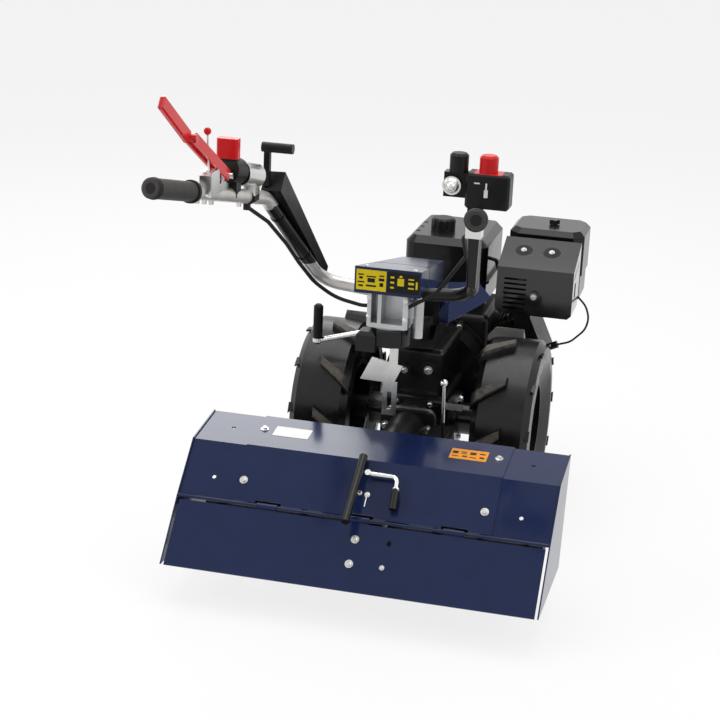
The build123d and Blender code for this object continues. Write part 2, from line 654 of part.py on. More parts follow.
def muffler_cover():
    """The pressed heat shield, with open louvres at the back and slots in its right side."""
    x0, x1 = MUFFLER_LEFT_X, MUFFLER_RIGHT_X
    outer = side_profile(shield_outline(0), x0, x1)
    outer = chamfer(outer.edges().filter_by(Axis.Y), 9)
    inner = side_profile(shield_outline(SHIELD_WALL), x0 + SHIELD_WALL, x1 - SHIELD_WALL)
    inner = chamfer(inner.edges().filter_by(Axis.Y), 8)
    body = outer - inner
    for index in range(LOUVRES):
        z = MUFFLER_TOP_Z - 28 - index * LOUVRE_PITCH
        body -= block(x0 + 18, x0 + 72, MUFFLER_BACK_Y - 5, MUFFLER_BACK_Y + 5, z - 2.5, z + 2.5)
    for index in range(9):
        y = MUFFLER_BACK_Y + 18 + index * 8
        z = MUFFLER_TOP_Z - 2 + index * 2.6
        body -= block(x1 - 5, x1 + 5, y - 1.5, y + 1.5, z - 22, z - 6)
    body -= block(x1 - 5, x1 + 5, MUFFLER_BACK_Y + 30, MUFFLER_BACK_Y + 52,
                  MUFFLER_TOP_Z - 70, MUFFLER_TOP_Z - 34)
    body += along_y(MUFFLER_BACK_Y - 6, MUFFLER_BACK_Y + 1, x0 + 92, MUFFLER_TOP_Z - 66, 13)
    return body


def air_filter():
    """The air filter's box beside the tank: a lower tray and a bevelled lid with its knob."""
    x0, x1 = FILTER_LEFT_X, FILTER_RIGHT_X
    z0 = MUFFLER_BOTTOM_Z + 10
    tray = block(x0 + 6, x1 - 4, FILTER_BACK_Y + 4, FILTER_FRONT_Y - 4, z0, z0 + 60)
    tray = chamfer(tray.edges().filter_by(Axis.Z), 20)
    lid = block(x0, x1, FILTER_BACK_Y, FILTER_FRONT_Y, z0 + 60, FILTER_TOP_Z)
    lid = chamfer(lid.edges().filter_by(Axis.Z), 24)
    lid = chamfer(lid.faces().sort_by(Axis.Z)[-1].edges(), 12)
    knob_x, knob_y = (x0 + x1) / 2 + 8, (FILTER_BACK_Y + FILTER_FRONT_Y) / 2
    knob = along_z(FILTER_TOP_Z, FILTER_TOP_Z + 12, knob_x, knob_y, 9)
    for index in range(5):
        angle = radians(index * 72)
        x, y = knob_x + 9 * cos(angle), knob_y + 9 * sin(angle)
        knob += along_z(FILTER_TOP_Z + 2, FILTER_TOP_Z + 12, x, y, 4.5)
    return tray + lid + knob


def engine_frame():
    """The steel cradle under the engine, with its front plate and hitch bore."""
    deck = block(-96, 96, BELL_FRONT_Y + 14, FRAME_FRONT_Y, ENGINE_BASE_Z - 12, ENGINE_BASE_Z)
    plate = block(-132, 132, FRAME_FRONT_Y - 10, FRAME_FRONT_Y, ENGINE_BASE_Z - 60, BUMPER_Z + 30)
    tongue = block(-30, 30, CASE_FRONT_Y, BELL_FRONT_Y + 20, ENGINE_BASE_Z - 12, ENGINE_BASE_Z)
    y0, y1 = FRAME_FRONT_Y - 20, FRAME_FRONT_Y + 10
    plate -= along_y(y0, y1, 0, HITCH_Z, HITCH_HOLE_RADIUS)
    for side in (-1, 1):
        plate -= along_y(y0, y1, side * WEIGHT_BOLT_SPACING / 2, WEIGHT_BOLT_Z, WEIGHT_BOLT_RADIUS)
    return deck + plate + tongue


def front_bumper():
    """The round guard bar in front of the starter."""
    y0 = FRAME_FRONT_Y
    y1 = BUMPER_FRONT_Y - BUMPER_TUBE_RADIUS
    half = BUMPER_HALF_WIDTH
    points = [(-half, y0, BUMPER_Z), (-half, y1, BUMPER_Z), (half, y1, BUMPER_Z), (half, y0, BUMPER_Z)]
    return bent_tube(points, BUMPER_TUBE_RADIUS, 40)


# Tiller

HOOD_LINE = [(HOOD_FRONT_Y, HOOD_FRONT_Z), (HOOD_KNEE_Y, HOOD_KNEE_Z), (FLAP_HINGE_Y + 4, FLAP_HINGE_Z + 4)]


def panel_point(x, along, above):
    """A point over the hood's sloping panel: so far down from its knee, and so far out from it."""
    run_y, run_z = FLAP_HINGE_Y - HOOD_KNEE_Y, FLAP_HINGE_Z - HOOD_KNEE_Z
    length = hypot(run_y, run_z)
    down_y, down_z = run_y / length, run_z / length
    return (x, HOOD_KNEE_Y + down_y * along + down_z * above, HOOD_KNEE_Z + down_z * along - down_y * above)


def hood_holes():
    """The spare bolt holes in the widenings, one on the top and one on the sloping panel each side."""
    top = along_z(HOOD_KNEE_Z - 20, HOOD_FRONT_Z + 20, HOOD_HOLE_X, HOOD_HOLE_TOP_Y, HOOD_HOLE_RADIUS)
    slope = rod(panel_point(HOOD_HOLE_X, HOOD_HOLE_ALONG, -20), panel_point(HOOD_HOLE_X, HOOD_HOLE_ALONG, 20),
                HOOD_HOLE_RADIUS)
    return top + slope


def tiller_hood():
    """The middle of the hood: flat on top, sloping down to the flap's hinge."""
    return bent_sheet(HOOD_LINE, SHEET, -HOOD_SEAM_X, HOOD_SEAM_X) - knuckle_notches()


def hood_wing():
    """The right widening of the hood, lapped under the middle."""
    line = offset_line(HOOD_LINE, SHEET)
    return bent_sheet(line, SHEET, HOOD_SEAM_X - HOOD_LAP, HOOD_HALF_WIDTH - SHEET) - hood_holes()


def depth_lever():
    """The tiller's depth lever: a round grip on a short post, sticking out to the rear."""
    foot = panel_point(LEVER_X, LEVER_ALONG, -1)
    elbow = panel_point(LEVER_X, LEVER_ALONG, LEVER_STAND)
    back_y, back_z = elbow[1] * 1.1 - LEVER_END[1] * 0.1, elbow[2] * 1.1 - LEVER_END[2] * 0.1
    return rod(foot, elbow, LEVER_RADIUS - 2) + rod((LEVER_X, back_y, back_z), LEVER_END, LEVER_RADIUS)


def depth_crank():
    """The bent bar beside the depth lever, with a fat grip on its lower run."""
    start = panel_point(0, CRANK_ALONG, CRANK_STAND)
    elbow = panel_point(CRANK_X, CRANK_ALONG, CRANK_STAND)
    end = panel_point(CRANK_X + 4, CRANK_END_ALONG, CRANK_STAND)
    middle = panel_point(CRANK_X + 2, CRANK_ALONG + 26, CRANK_STAND)
    post = rod(panel_point(0, CRANK_ALONG, -1), panel_point(0, CRANK_ALONG, CRANK_STAND + CRANK_RADIUS + 2),
               CRANK_RADIUS + 1.5)
    tip = panel_point(CRANK_X + 4.2, CRANK_END_ALONG + 3, CRANK_STAND)
    return post + bent_tube([start, elbow, end], CRANK_RADIUS, 13) + rod(middle, tip, CRANK_RADIUS + 3)


def side_plate():
    """The right end of the hood, a flat plate down to the soil."""
    outline = [
        (HOOD_FRONT_Y, HOOD_FRONT_Z), (HOOD_KNEE_Y, HOOD_KNEE_Z), (FLAP_HINGE_Y, FLAP_HINGE_Z),
        (FLAP_TIP_Y, FLAP_TIP_Z), (SIDE_FRONT_Y, SIDE_BOTTOM_Z)]
    return side_profile(outline, HOOD_HALF_WIDTH - SHEET, HOOD_HALF_WIDTH)


def hinge_pin():
    """The flap's pin, held in the hood's two side plates."""
    end = HOOD_HALF_WIDTH - SHEET
    return along_x(-end, end, FLAP_HINGE_Y, FLAP_HINGE_Z, HINGE_PIN_RADIUS)


def rear_flap():
    """The hinged rear panel, with the rolled knuckles that turn on the hinge pin."""
    line = [(FLAP_HINGE_Y - 6, FLAP_HINGE_Z - 6), (FLAP_TIP_Y, FLAP_TIP_Z)]
    half = HOOD_HALF_WIDTH - SHEET - FLAP_SIDE_GAP
    hole = along_y(FLAP_HINGE_Y - 60, FLAP_HINGE_Y, FLAP_HOLE_X, FLAP_HOLE_Z, FLAP_HOLE_RADIUS)
    flap = bent_sheet(line, SHEET, -half, half) - hole
    bore = along_x(-half, half, FLAP_HINGE_Y, FLAP_HINGE_Z, HINGE_PIN_RADIUS + RUN_FIT)
    for x in (-KNUCKLE_X, 0, KNUCKLE_X):
        knuckle = along_x(x - KNUCKLE_LENGTH / 2, x + KNUCKLE_LENGTH / 2, FLAP_HINGE_Y, FLAP_HINGE_Z,
                          KNUCKLE_RADIUS)
        leaf_line = [(FLAP_HINGE_Y - 2, FLAP_HINGE_Z - 2), (FLAP_HINGE_Y - 12, FLAP_HINGE_Z - 13.2)]
        leaf = bent_sheet(leaf_line, SHEET, x - KNUCKLE_LENGTH / 2, x + KNUCKLE_LENGTH / 2)
        flap += knuckle + leaf
    return flap - bore


def knuckle_notches():
    """The notches in the hood's rear edge that leave room for the flap's knuckles."""
    notches = []
    for x in (-KNUCKLE_X, 0, KNUCKLE_X):
        half = KNUCKLE_LENGTH / 2 + MOVE_GAP
        notches.append(along_x(x - half, x + half, FLAP_HINGE_Y, FLAP_HINGE_Z, KNUCKLE_RADIUS + MOVE_GAP))
    return notches


def drive_case():
    """The tiller's narrow drive case, from the coupling to the rotor, with its skid."""
    half = DRIVE_CASE_HALF_WIDTH
    upper_y, upper_z = HOOD_FRONT_Y - 20, PTO_Z
    hull = make_hull([*(Pos(ROTOR_Y, ROTOR_Z) * Circle(DRIVE_CASE_RADIUS)).edges(),
                      *(Pos(upper_y, upper_z - 14) * Circle(DRIVE_CASE_RADIUS - 14)).edges()])
    body = Pos(-half, 0, 0) * extrude(Plane.YZ * hull, amount=2 * half, dir=(1, 0, 0))
    tube = along_y(upper_y, PTO_Y, 0, PTO_Z - 6, DRIVE_TUBE_RADIUS)
    flange = block(-PTO_WIDTH / 2, PTO_WIDTH / 2, PTO_Y - PTO_THICK, PTO_Y,
                   PTO_Z - PTO_HEIGHT / 2, PTO_Z + PTO_HEIGHT / 2)
    flange = fillet(flange.edges().filter_by(Axis.Y), 22)
    for side in (-1, 1):
        flange -= along_y(PTO_Y - PTO_THICK - 5, PTO_Y + 5, side * PTO_BOLT_SPACING / 2, PTO_Z, 5.5)
    body = body + tube + flange
    return body - along_x(-60, 60, ROTOR_Y, ROTOR_Z, ROTOR_TUBE_RADIUS + RUN_FIT)


def skid():
    """The curved shoe under the drive case, on which the tiller stands."""
    line = [(HOOD_FRONT_Y + 6, ROTOR_Z + 30), (HOOD_FRONT_Y - 6, 40), (HOOD_FRONT_Y - 26, 0), (-446.0, 0),
            (-470.0, 24)]
    return bent_sheet(line[::-1], 8.0, -22, 22)


# Rotor

def tine(handed):
    """One L-shaped blade: a shank out from its flange and a foot turned to one side."""
    shank = block(0, TINE_THICK, -17, 17, 30, TINE_RADIUS - 10)
    foot = block(min(0, handed * TINE_REACH), max(TINE_THICK, handed * TINE_REACH), -17, 17,
                 TINE_RADIUS - 12, TINE_RADIUS - 5)
    return shank + foot


def rotor_half():
    """The right half of the rotor: tube, flanges and blades."""
    first = DRIVE_CASE_HALF_WIDTH + 14
    last = ROTOR_HALF_WIDTH - 40
    pitch = (last - first) / (TINE_FLANGES_A_SIDE - 1)
    body = along_x(DRIVE_CASE_HALF_WIDTH + MOVE_GAP, ROTOR_HALF_WIDTH, 0, 0, ROTOR_TUBE_RADIUS + 4)
    for index in range(TINE_FLANGES_A_SIDE):
        x = first + index * pitch
        body += along_x(x, x + TINE_THICK, 0, 0, TINE_FLANGE_RADIUS)
        for blade in range(TINES_A_FLANGE):
            angle = blade * 360.0 / TINES_A_FLANGE + index * 20
            handed = 1 if index == 0 or (index < TINE_FLANGES_A_SIDE - 1 and blade % 2) else -1
            body += Pos(x, 0, 0) * Rot(angle, 0, 0) * tine(handed)
    return body


def rotor_shaft():
    """The bar through the drive case that carries both halves."""
    return along_x(-DRIVE_CASE_HALF_WIDTH - MOVE_GAP, DRIVE_CASE_HALF_WIDTH + MOVE_GAP, ROTOR_Y, ROTOR_Z,
                   ROTOR_TUBE_RADIUS)


# Handlebar

def column_housing():
    """The light alloy column, open at the back, that swivels on the bracket."""
    half = COLUMN_WIDTH / 2
    body = block(-half, half, COLUMN_BACK_Y, COLUMN_FRONT_Y, COLUMN_BOTTOM_Z, COLUMN_TOP_Z)
    body = chamfer(body.edges().filter_by(Axis.Z), 6)
    pocket = block(-half + 10, half - 10, COLUMN_BACK_Y - 1, COLUMN_BACK_Y + 44,
                   COLUMN_BOTTOM_Z + 10, COLUMN_TOP_Z - 8)
    pocket -= block(-half + 24, -half + 32, COLUMN_BACK_Y - 5, COLUMN_BACK_Y + 50,
                    COLUMN_BOTTOM_Z, COLUMN_TOP_Z)
    spigot = along_z(BRACKET_TOP_Z + FACE_GAP, COLUMN_BOTTOM_Z, 0, COLUMN_Y, SEAT_RADIUS - 2)
    post_front = COLUMN_FRONT_Y - 10
    post = block(-half, half, post_front - 20, post_front, COLUMN_TOP_Z, CONSOLE_TOP_Z) & cover_body(SHEET)
    lock = along_z(COLUMN_BOTTOM_Z - 22, COLUMN_BOTTOM_Z + 62, LOCK_X, LOCK_Y, LOCK_RADIUS)
    web = block(half - 2, LOCK_X, LOCK_Y - 7, LOCK_Y + 7, COLUMN_BOTTOM_Z + 20, COLUMN_BOTTOM_Z + 56)
    return body - pocket + spigot + post + lock + web


def console():
    """The blue sheet over the column, with the upright face for its signs and a round front edge."""
    below = [(CONSOLE_BACK_Y - 5, CONSOLE_BOTTOM_Z), (COVER_FRONT_Y, CONSOLE_BOTTOM_Z),
             (COVER_FRONT_Y, CONSOLE_TOP_Z + 5), (CONSOLE_BACK_Y - 5, CONSOLE_TOP_Z + 5)]
    return cover_shell(below) & nose_zone(CONSOLE_NOSE_RADIUS)


def handle_tube():
    """The right handlebar: in from its grip, down and forward, then across to the column."""
    return bent_tube([GRIP_START, TUBE_UPPER_BEND, TUBE_LOWER_BEND, TUBE_FOOT], TUBE_RADIUS, 52)


def grip():
    body = rod(GRIP_START, GRIP_END, GRIP_RADIUS)
    ends = body.edges().filter_by(GeomType.CIRCLE)
    return fillet(ends, 4)


def control_box():
    """The switch box on the right handlebar, with a knob on it and a clamped knob beside it."""
    x, y = BOX_X, BOX_Y
    body = block(x - 40, x + 40, y - 22, y + 22, BOX_BOTTOM_Z, BOX_TOP_Z)
    body = chamfer(body.edges(), 4)
    body += block(x - 36, x - 10, y - 9, y + 9, BOX_BOTTOM_Z - 28, BOX_BOTTOM_Z + 2)
    body += block(x - 81, x - 40, y - 12, y + 12, BOX_BOTTOM_Z + 16, BOX_TOP_Z - 3)
    for knob_x in (x - 3, x - 57):
        knob = along_z(BOX_TOP_Z - 3, BOX_TOP_Z + KNOB_HEIGHT, knob_x, y, KNOB_RADIUS)
        body += chamfer(knob.faces().sort_by(Axis.Z)[-1].edges(), 4)
    return body


def release_lever():
    """The tapered lever under the right handlebar, with a ball at its end."""
    x, y, z = RELEASE_FOOT
    blade = front_plate([(x - 11, z), (x + 11, z), (x + 9, z - 118), (x - 5, z - 118)], y - 4, y + 4)
    hanger = block(x - 15, x + 15, y - 14, y + 14, z - 20, z + 18)
    ball = Pos(x + 2, y, z - 126) * Sphere(BALL_RADIUS)
    return blade + hanger + ball


def clutch_lever():
    """The red lever on the left handlebar: two plates and a broad sleeve for the hand."""
    lever = flat_bar(CLUTCH_PIVOT, CLUTCH_ELBOW, 22, 5) + flat_bar(CLUTCH_ELBOW, CLUTCH_TOP, 20, 5)
    second = Pos(14, 0, 0) * flat_bar(CLUTCH_PIVOT, CLUTCH_ELBOW, 20, 4)
    x, y, z = CLUTCH_ELBOW
    spacer = along_x(x - 6, x + 18, y, z, 7)
    sleeve = flat_bar(CLUTCH_ELBOW, CLUTCH_TOP, 26, 12)
    return lever + second + spacer + chamfer(sleeve.edges(), 3)


def lever_bracket():
    """The bright bracket that carries the clutch lever's pin, with the lock's thin rod and ball."""
    x, y, z = CLUTCH_PIVOT
    upright = block(x + 5, x + 11, y - 16, y + 12, z - 34, z + 10)
    rail = block(x + 5, x + 11, y - 92, y, z - 24, z - 8)
    clip = block(x - 12, x + 11, y - 92, y - 44, z - 24, z + 22)
    pin = along_x(x - 8, x + 22, y, z, 6)
    wire = rod((x - 4, y - 64, z + 20), (x - 4, y - 74, z + 95), 2)
    ball = Pos(x - 4, y - 74, z + 95) * Sphere(7)
    return upright + rail + chamfer(clip.edges().filter_by(Axis.X), 6) + pin + wire + ball


def left_controls():
    """The stop drum, its clamp and a T lever on the left handlebar, and the cover down to the column."""
    drum = rod(DRUM_BACK, DRUM_FRONT, DRUM_RADIUS)
    button = block(BUTTON_X - 21, BUTTON_X + 21, BUTTON_Y - 11, BUTTON_Y + 11, BUTTON_BOTTOM_Z, BUTTON_TOP_Z)
    clamp = rod(CLAMP_BACK, CLAMP_FRONT, CLAMP_RADIUS)
    body = drum + chamfer(button.edges().filter_by(Axis.Z), 4) + clamp
    for x, y, z in (DRUM_FRONT, CLAMP_FRONT):
        body += block(x - 12, x + 12, y - 34, y - 6, z - 44, z)
    body += rod(DRUM_FRONT, CLAMP_BACK, 8)
    upper = Plane(origin=SLEEVE_TOP, x_dir=(1, 0, 0), z_dir=SLEEVE_DIRECTION) * Rectangle(42, 44)
    lower = Plane(origin=SLEEVE_END, x_dir=(1, 0, 0), z_dir=SLEEVE_DIRECTION) * Rectangle(28, 24)
    sleeve = loft([upper, lower])
    x, y, z = SLEEVE_TOP
    stem = block(x - 17, x - 5, y - 12, y, z - 8, z + 62)
    bar = along_x(x - 22, x + 41, y - 6, z + 68, 10)
    return body + sleeve + stem + bar


def cable(points, radius, bend):
    """A captive cable, and a printed note of how its volume agrees with its length."""
    path = FilletPolyline(*points, radius=bend)
    body = bent_tube(points, radius, bend)
    ideal = pi * radius ** 2 * path.length
    print("cable length", round(path.length), "volume ratio", round(body.volume / ideal, 4))
    return body


def plug_lead():
    """The spark plug with its cap, the lead, and the clip that holds it to the muffler's shield."""
    points = [(x, LEAD_Y, z) for x, z in LEAD_LINE]
    cap = rod((PLUG_FOOT[0], LEAD_Y, PLUG_FOOT[1]), (PLUG_END[0], LEAD_Y, PLUG_END[1]), PLUG_RADIUS)
    clip_x, clip_z = LEAD_LINE[0]
    clip = block(clip_x - 9, clip_x + 5, MUFFLER_FRONT_Y, LEAD_Y + 5, clip_z - 7, clip_z + 9)
    return cable(points, LEAD_RADIUS, LEAD_BEND) + cap + clip


def shift_linkage():
    """The bright plates and the push rod behind the coupling."""
    y0, y1 = LINKAGE_Y - LINKAGE_THICK / 2, LINKAGE_Y + LINKAGE_THICK / 2
    plate = front_plate(LINKAGE_PLATE, y0, y1)
    hanger = block(-34, -14, y0, y1, LINKAGE_PLATE[2][1] + 20, BRACKET_TOP_Z - 85)
    slotted = block(-46, -13, y0, y1, LINKAGE_PLATE[2][1] - 76, LINKAGE_PLATE[2][1] + 2)
    slotted -= block(-35, -25, y0 - 1, y1 + 1, LINKAGE_PLATE[2][1] - 62, LINKAGE_PLATE[2][1] - 20)
    top_x, top_y, top_z = SHIFT_ROD_TOP
    foot_x, foot_y, foot_z = SHIFT_ROD_FOOT
    push = rod(SHIFT_ROD_TOP, SHIFT_ROD_FOOT, 4) + Pos(top_x, top_y, top_z) * Sphere(9)
    arm = block(top_x, top_x + 44, y0, y1, top_z - 60, top_z - 46)
    base = block(PTO_WIDTH / 2 - 4, foot_x + 6, foot_y - 6, PTO_Y - 4, foot_z - 6, foot_z + 2)
    return plate + hanger + slotted + push + arm + base


def gear_lever():
    """The gear lever out to the left, a bright rod with an upright grip."""
    x, y, z = GEAR_LEVER_FOOT
    lever = rod(GEAR_LEVER_FOOT, GEAR_LEVER_ROOT, 6)
    grip_bar = along_z(z - 8, z + GEAR_GRIP_HEIGHT, x - 1, y, 11)
    return lever + chamfer(grip_bar.edges().filter_by(GeomType.CIRCLE), 5)


save_wheel(1, "right")
save_wheel(-1, "left")
case = gearbox_case()
save(case, "gearbox_case")
save(pto_flange() - case, "pto_flange")
coupling = drive_case()
save(coupling, "drive_case")
save(skid() - coupling, "skid")
guards = side_guard() + mirror_x(side_guard())
bracket = handlebar_bracket() - case - guards
save(bracket, "handlebar_bracket")
save(body_cover() + guards, "body_cover")
save(shift_linkage() - bracket - coupling, "shift_linkage")
save(gear_lever() - bracket, "gear_lever")
crankcase = engine_block()
save(crankcase - case, "engine_block")
barrel = cylinder() - crankcase
save(barrel, "cylinder")
head = head_cover() - barrel
save(head, "head_cover")
save(exhaust_pipe(), "exhaust_pipe")
save(carburettor() - barrel - head, "carburettor")
save(plug_lead() - head, "plug_lead")
starter = recoil_starter() - crankcase
save(starter, "recoil_starter")
tank = fuel_tank()
save(tank, "fuel_tank")
save(fuel_cap() - tank, "fuel_cap")
save(muffler_cover(), "muffler_cover")
save(air_filter(), "air_filter")
cradle = engine_frame() - case - crankcase - starter
save(cradle, "engine_frame")
save(front_bumper() - cradle, "front_bumper")
hood = tiller_hood()
save(hood, "tiller_hood")
save(hood_wing(), "hood_wing_right")
save(mirror_x(hood_wing()), "hood_wing_left")
save(side_plate(), "side_plate_right")
save(mirror_x(side_plate()), "side_plate_left")
save(depth_lever() + depth_crank() - hood, "depth_lever")
save(hinge_pin(), "hinge_pin")
save(rear_flap(), "rear_flap")
shaft = rotor_shaft()
right_rotor = Pos(0, ROTOR_Y, ROTOR_Z) * rotor_half() - shaft
save(shaft, "rotor_shaft")
save(right_rotor, "tines_right")
save(mirror_x(right_rotor), "tines_left")
column = column_housing()
save(column, "column_housing")
right_tube = handle_tube() - column
left_tube = mirror_x(right_tube)
save(right_tube, "handle_tube_right")
save(left_tube, "handle_tube_left")
save(console() - column - right_tube - left_tube, "console")
right_grip = grip() - right_tube
save(right_grip, "grip_right")
save(mirror_x(right_grip), "grip_left")
save(control_box() - right_tube, "control_box")
release = release_lever() - right_tube
save(release, "release_lever")
carrier = lever_bracket() - left_tube
save(carrier, "lever_bracket")
save(clutch_lever() - carrier, "clutch_lever")
controls = left_controls() - left_tube - carrier
save(controls, "left_controls")
left_cable = cable(LEFT_CABLE, CABLE_RADIUS, CABLE_BEND) - controls
right_cable = cable(RIGHT_CABLE, CABLE_RADIUS, CABLE_BEND) - release
save(left_cable + right_cable - column, "cables")
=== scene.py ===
from math import cos, pi, radians, sin

import bmesh
import bpy
from mathutils import Matrix, Vector


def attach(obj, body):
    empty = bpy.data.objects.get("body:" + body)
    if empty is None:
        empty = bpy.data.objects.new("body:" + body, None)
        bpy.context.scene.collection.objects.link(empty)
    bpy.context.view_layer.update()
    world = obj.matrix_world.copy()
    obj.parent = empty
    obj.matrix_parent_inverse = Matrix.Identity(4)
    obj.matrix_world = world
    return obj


# The looks of a walking tractor: finishes of every piece, screws, signs, ties and the studio.
# Places are given in millimetres from the floor below the wheel axle, as the machine is drawn.
# X points to its right, Y to its front, Z up.

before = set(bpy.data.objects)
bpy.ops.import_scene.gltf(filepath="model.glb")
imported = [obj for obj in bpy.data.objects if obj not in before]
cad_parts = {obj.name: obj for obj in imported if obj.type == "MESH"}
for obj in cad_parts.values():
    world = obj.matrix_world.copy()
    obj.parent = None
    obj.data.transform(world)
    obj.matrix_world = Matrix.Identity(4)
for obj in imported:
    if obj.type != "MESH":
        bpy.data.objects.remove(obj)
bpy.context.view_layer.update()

AXLE_TO_MIDDLE = 268.0
BACKWARD = (0, -1, 0)

# Camera
CAMERA_PLACE = (784.3, -3945.0, 1664.1)
CAMERA_YAW = radians(13.478)
CAMERA_PITCH = radians(18.093)
CAMERA_ROLL = radians(2.497)
CAMERA_LENS = 89.3

# Wheels, with their bolts and valves; a bolt's head is given by about half its width
TREAD_X = 212.0
AXLE_Z = 225.0
RIM_FACE_X = 12.0
LUG_TOP_FROM, LUG_TOP_FADE = 215.0, 6.0
WHEEL_BOLTS, WHEEL_BOLT_RADIUS, WHEEL_HEAD = 4, 40.0, 6.5
VALVE_FROM_AXLE = 78.0
VALVE_SINK, VALVE_REACH, VALVE_RISE = 2.0, 26.0, 4.0
VALVE_FOOT, VALVE_TOP = 4.0, 3.0

# Transmission case
CRANK_Z = 290.0
BELL_BOLTS, BELL_BOLT_RADIUS, BELL_HEAD = 8, 122.0, 5.0
BELL_BOLT_FACE_Y = 154.0
COUPLING_FACE_Y = -188.0
COUPLING_Z = 254.0
COUPLING_BOLT_X, COUPLING_HEAD = 49.0, 6.5
CASE_HEAD = 4.5
CASE_BACK_BOLT_X, CASE_BACK_BOLT_Y = 40.0, -128.0
CASE_BACK_BOLT_HEIGHTS = (214.0, 294.0)
AXLE_TUBE_BOLT_X, AXLE_TUBE_BOLT_RISE = 88.0, 48.0
BRACKET_BOLTS = [((30, -120, 374), 6.0), ((-26, -120, 368), 4.5)]

# Corners of hood and flap in the side view, each by its Y and Z
HOOD_FRONT = (-376.0, 310.0)
HOOD_KNEE = (-518.0, 294.0)
FLAP_HINGE = (-618.0, 199.0)
FLAP_TIP = (-722.0, 83.0)

# Their screws, each by its X, its share of the way down a panel and its head
TOP_SCREWS = [(-262, 0.45, 5.2), (256, 0.44, 5.2)]
LOW_SCREWS = [(-264, 0.61, 5.2), (255, 0.6, 5.2), (-11, 0.565, 3.6), (5, 0.58, 3.6)]
FLAP_SCREWS = [(0, 0.28, 5.2), (-2, 0.625, 5.2), (67, 0.615, 3.2)]
PIN_X, PIN_TOP, PIN_END = 5, 0.6, 0.79
PIN_LIFT, PIN_RADIUS = 3.0, 1.6

# Muffler's shield and fuel hose
SHIELD_OUT = (0, -48, 112)
DIMPLE_PLACES = [(182, 216, 593.3), (250, 216, 593.3)]
DIMPLE_RADIUS, DIMPLE_SLOPE, DIMPLE_HEIGHT = 21.0, 1.0, 0.6
DIMPLE_HEAD = 4.0
SHIELD_BACK_BOLT, SHIELD_HEAD = (223, 144, 499), 4.5
HOSE_LINE = [(88, 240, 560), (112, 236, 556), (122, 236, 530), (120, 240, 440)]
HOSE_RADIUS = 4.5

# Handlebar: right tube and grip, which the left ones mirror
GRIP_END = (287.0, -1088.0, 971.0)
GRIP_START = (262.0, -944.0, 937.0)
TUBE_BEND = (210.0, -650.0, 868.0)
TUBE_FOOT = (165.0, -375.0, 635.0)
TUBE_RADIUS = 14.0
GRIP_RADIUS = 18.5
GRIP_RIB_PITCH = 4.2

# Rings along a grip, away from its start or its tip: from and to, both radii, and sides
GRIP_COLLAR = (-1.0, 7.0, GRIP_RADIUS + 3.0, GRIP_RADIUS + 3.0, 36)
TIP_RING = (-12.0, -1.6, GRIP_RADIUS + 1.6, GRIP_RADIUS + 0.2, 36)
TIP_PLUG = (-1.0, 0.6, GRIP_RADIUS * 0.6, GRIP_RADIUS * 0.5, 28)

# Ties, clamp and screws of the left tube, their shares being of a straight stretch of it
TIE_SHARES = (0.2, 0.66)
TIE_HALF, TIE_THICK = 2.5, 1.4
CLAMP_PLACE, CLAMP_HALF, CLAMP_THICK = (-223.8, -728.0, 886.3), 6.0, 1.6
CLAMP_BLOCK_PLACE, CLAMP_BLOCK_SIZE = (-224.0, -728.0, 867.5), (11, 13, 14)
TUBE_BOLT_SHARES = (0.07, 0.16, 0.25, 0.62)
TUBE_BOLT_SINK, TUBE_BOLT_DROP = 3.0, 7.0
TUBE_BOLT_RADIUS, TUBE_BOLT_END = 5.2, 4.6

# Key switch in steps from and to a Y, each with both radii, and the marks on the switch box
KEY_X, KEY_Z = 201.0, 977.0
KEY_STEPS = [(-863, -870, 17, 17), (-870, -876, 14, 10)]
KEY_BALL_Y, KEY_BALL_RADIUS = -873.0, 9.0
BOX_FACE_Y = -872.3
BOX_MARKS = [(247, 986, 10, 2.5), (264, 981, 3, 12), (264, 968, 7, 14)]

# Column and console
COLUMN_BOLT_X, COLUMN_BACK_Y = 39.0, -452.0
COLUMN_BOLT_HEIGHTS = (590.0, 630.0)
COLUMN_HEAD = 3.0
POST_PLACE, POST_HEIGHT, POST_RADIUS, POST_END = (61, -418, 628), 4.0, 8.0, 7.0
CONSOLE_FACE_Y = -457.0
CONSOLE_SCREW_X, CONSOLE_SCREW_Y, CONSOLE_TOP_Z = 52.0, -430.0, 691.0
CONSOLE_SCREW_HEIGHT, CONSOLE_SCREW_RADIUS, CONSOLE_SCREW_END = 3.0, 5.5, 4.0

# Signs: place by X and share down the hood's top panel, or by X on the console, and size
SIGN_THICK, SIGN_LIFT = 0.5, 0.3
MARK_THICK, MARK_LIFT = 0.3, 0.35
WHITE_SIGN_X, WHITE_SIGN_SHARE, WHITE_SIGN_SIZE = -199, 0.455, (80, 44)
ORANGE_SIGN_X, ORANGE_SIGN_SHARE, ORANGE_SIGN_SIZE = 191, 0.44, (80, 46)
CONSOLE_SIGN_Z = 669.0
LEFT_SIGN_X, LEFT_SIGN_SIZE = -35, (64, 44)
RIGHT_SIGN_X, RIGHT_SIGN_SIZE = 34, (68, 44)

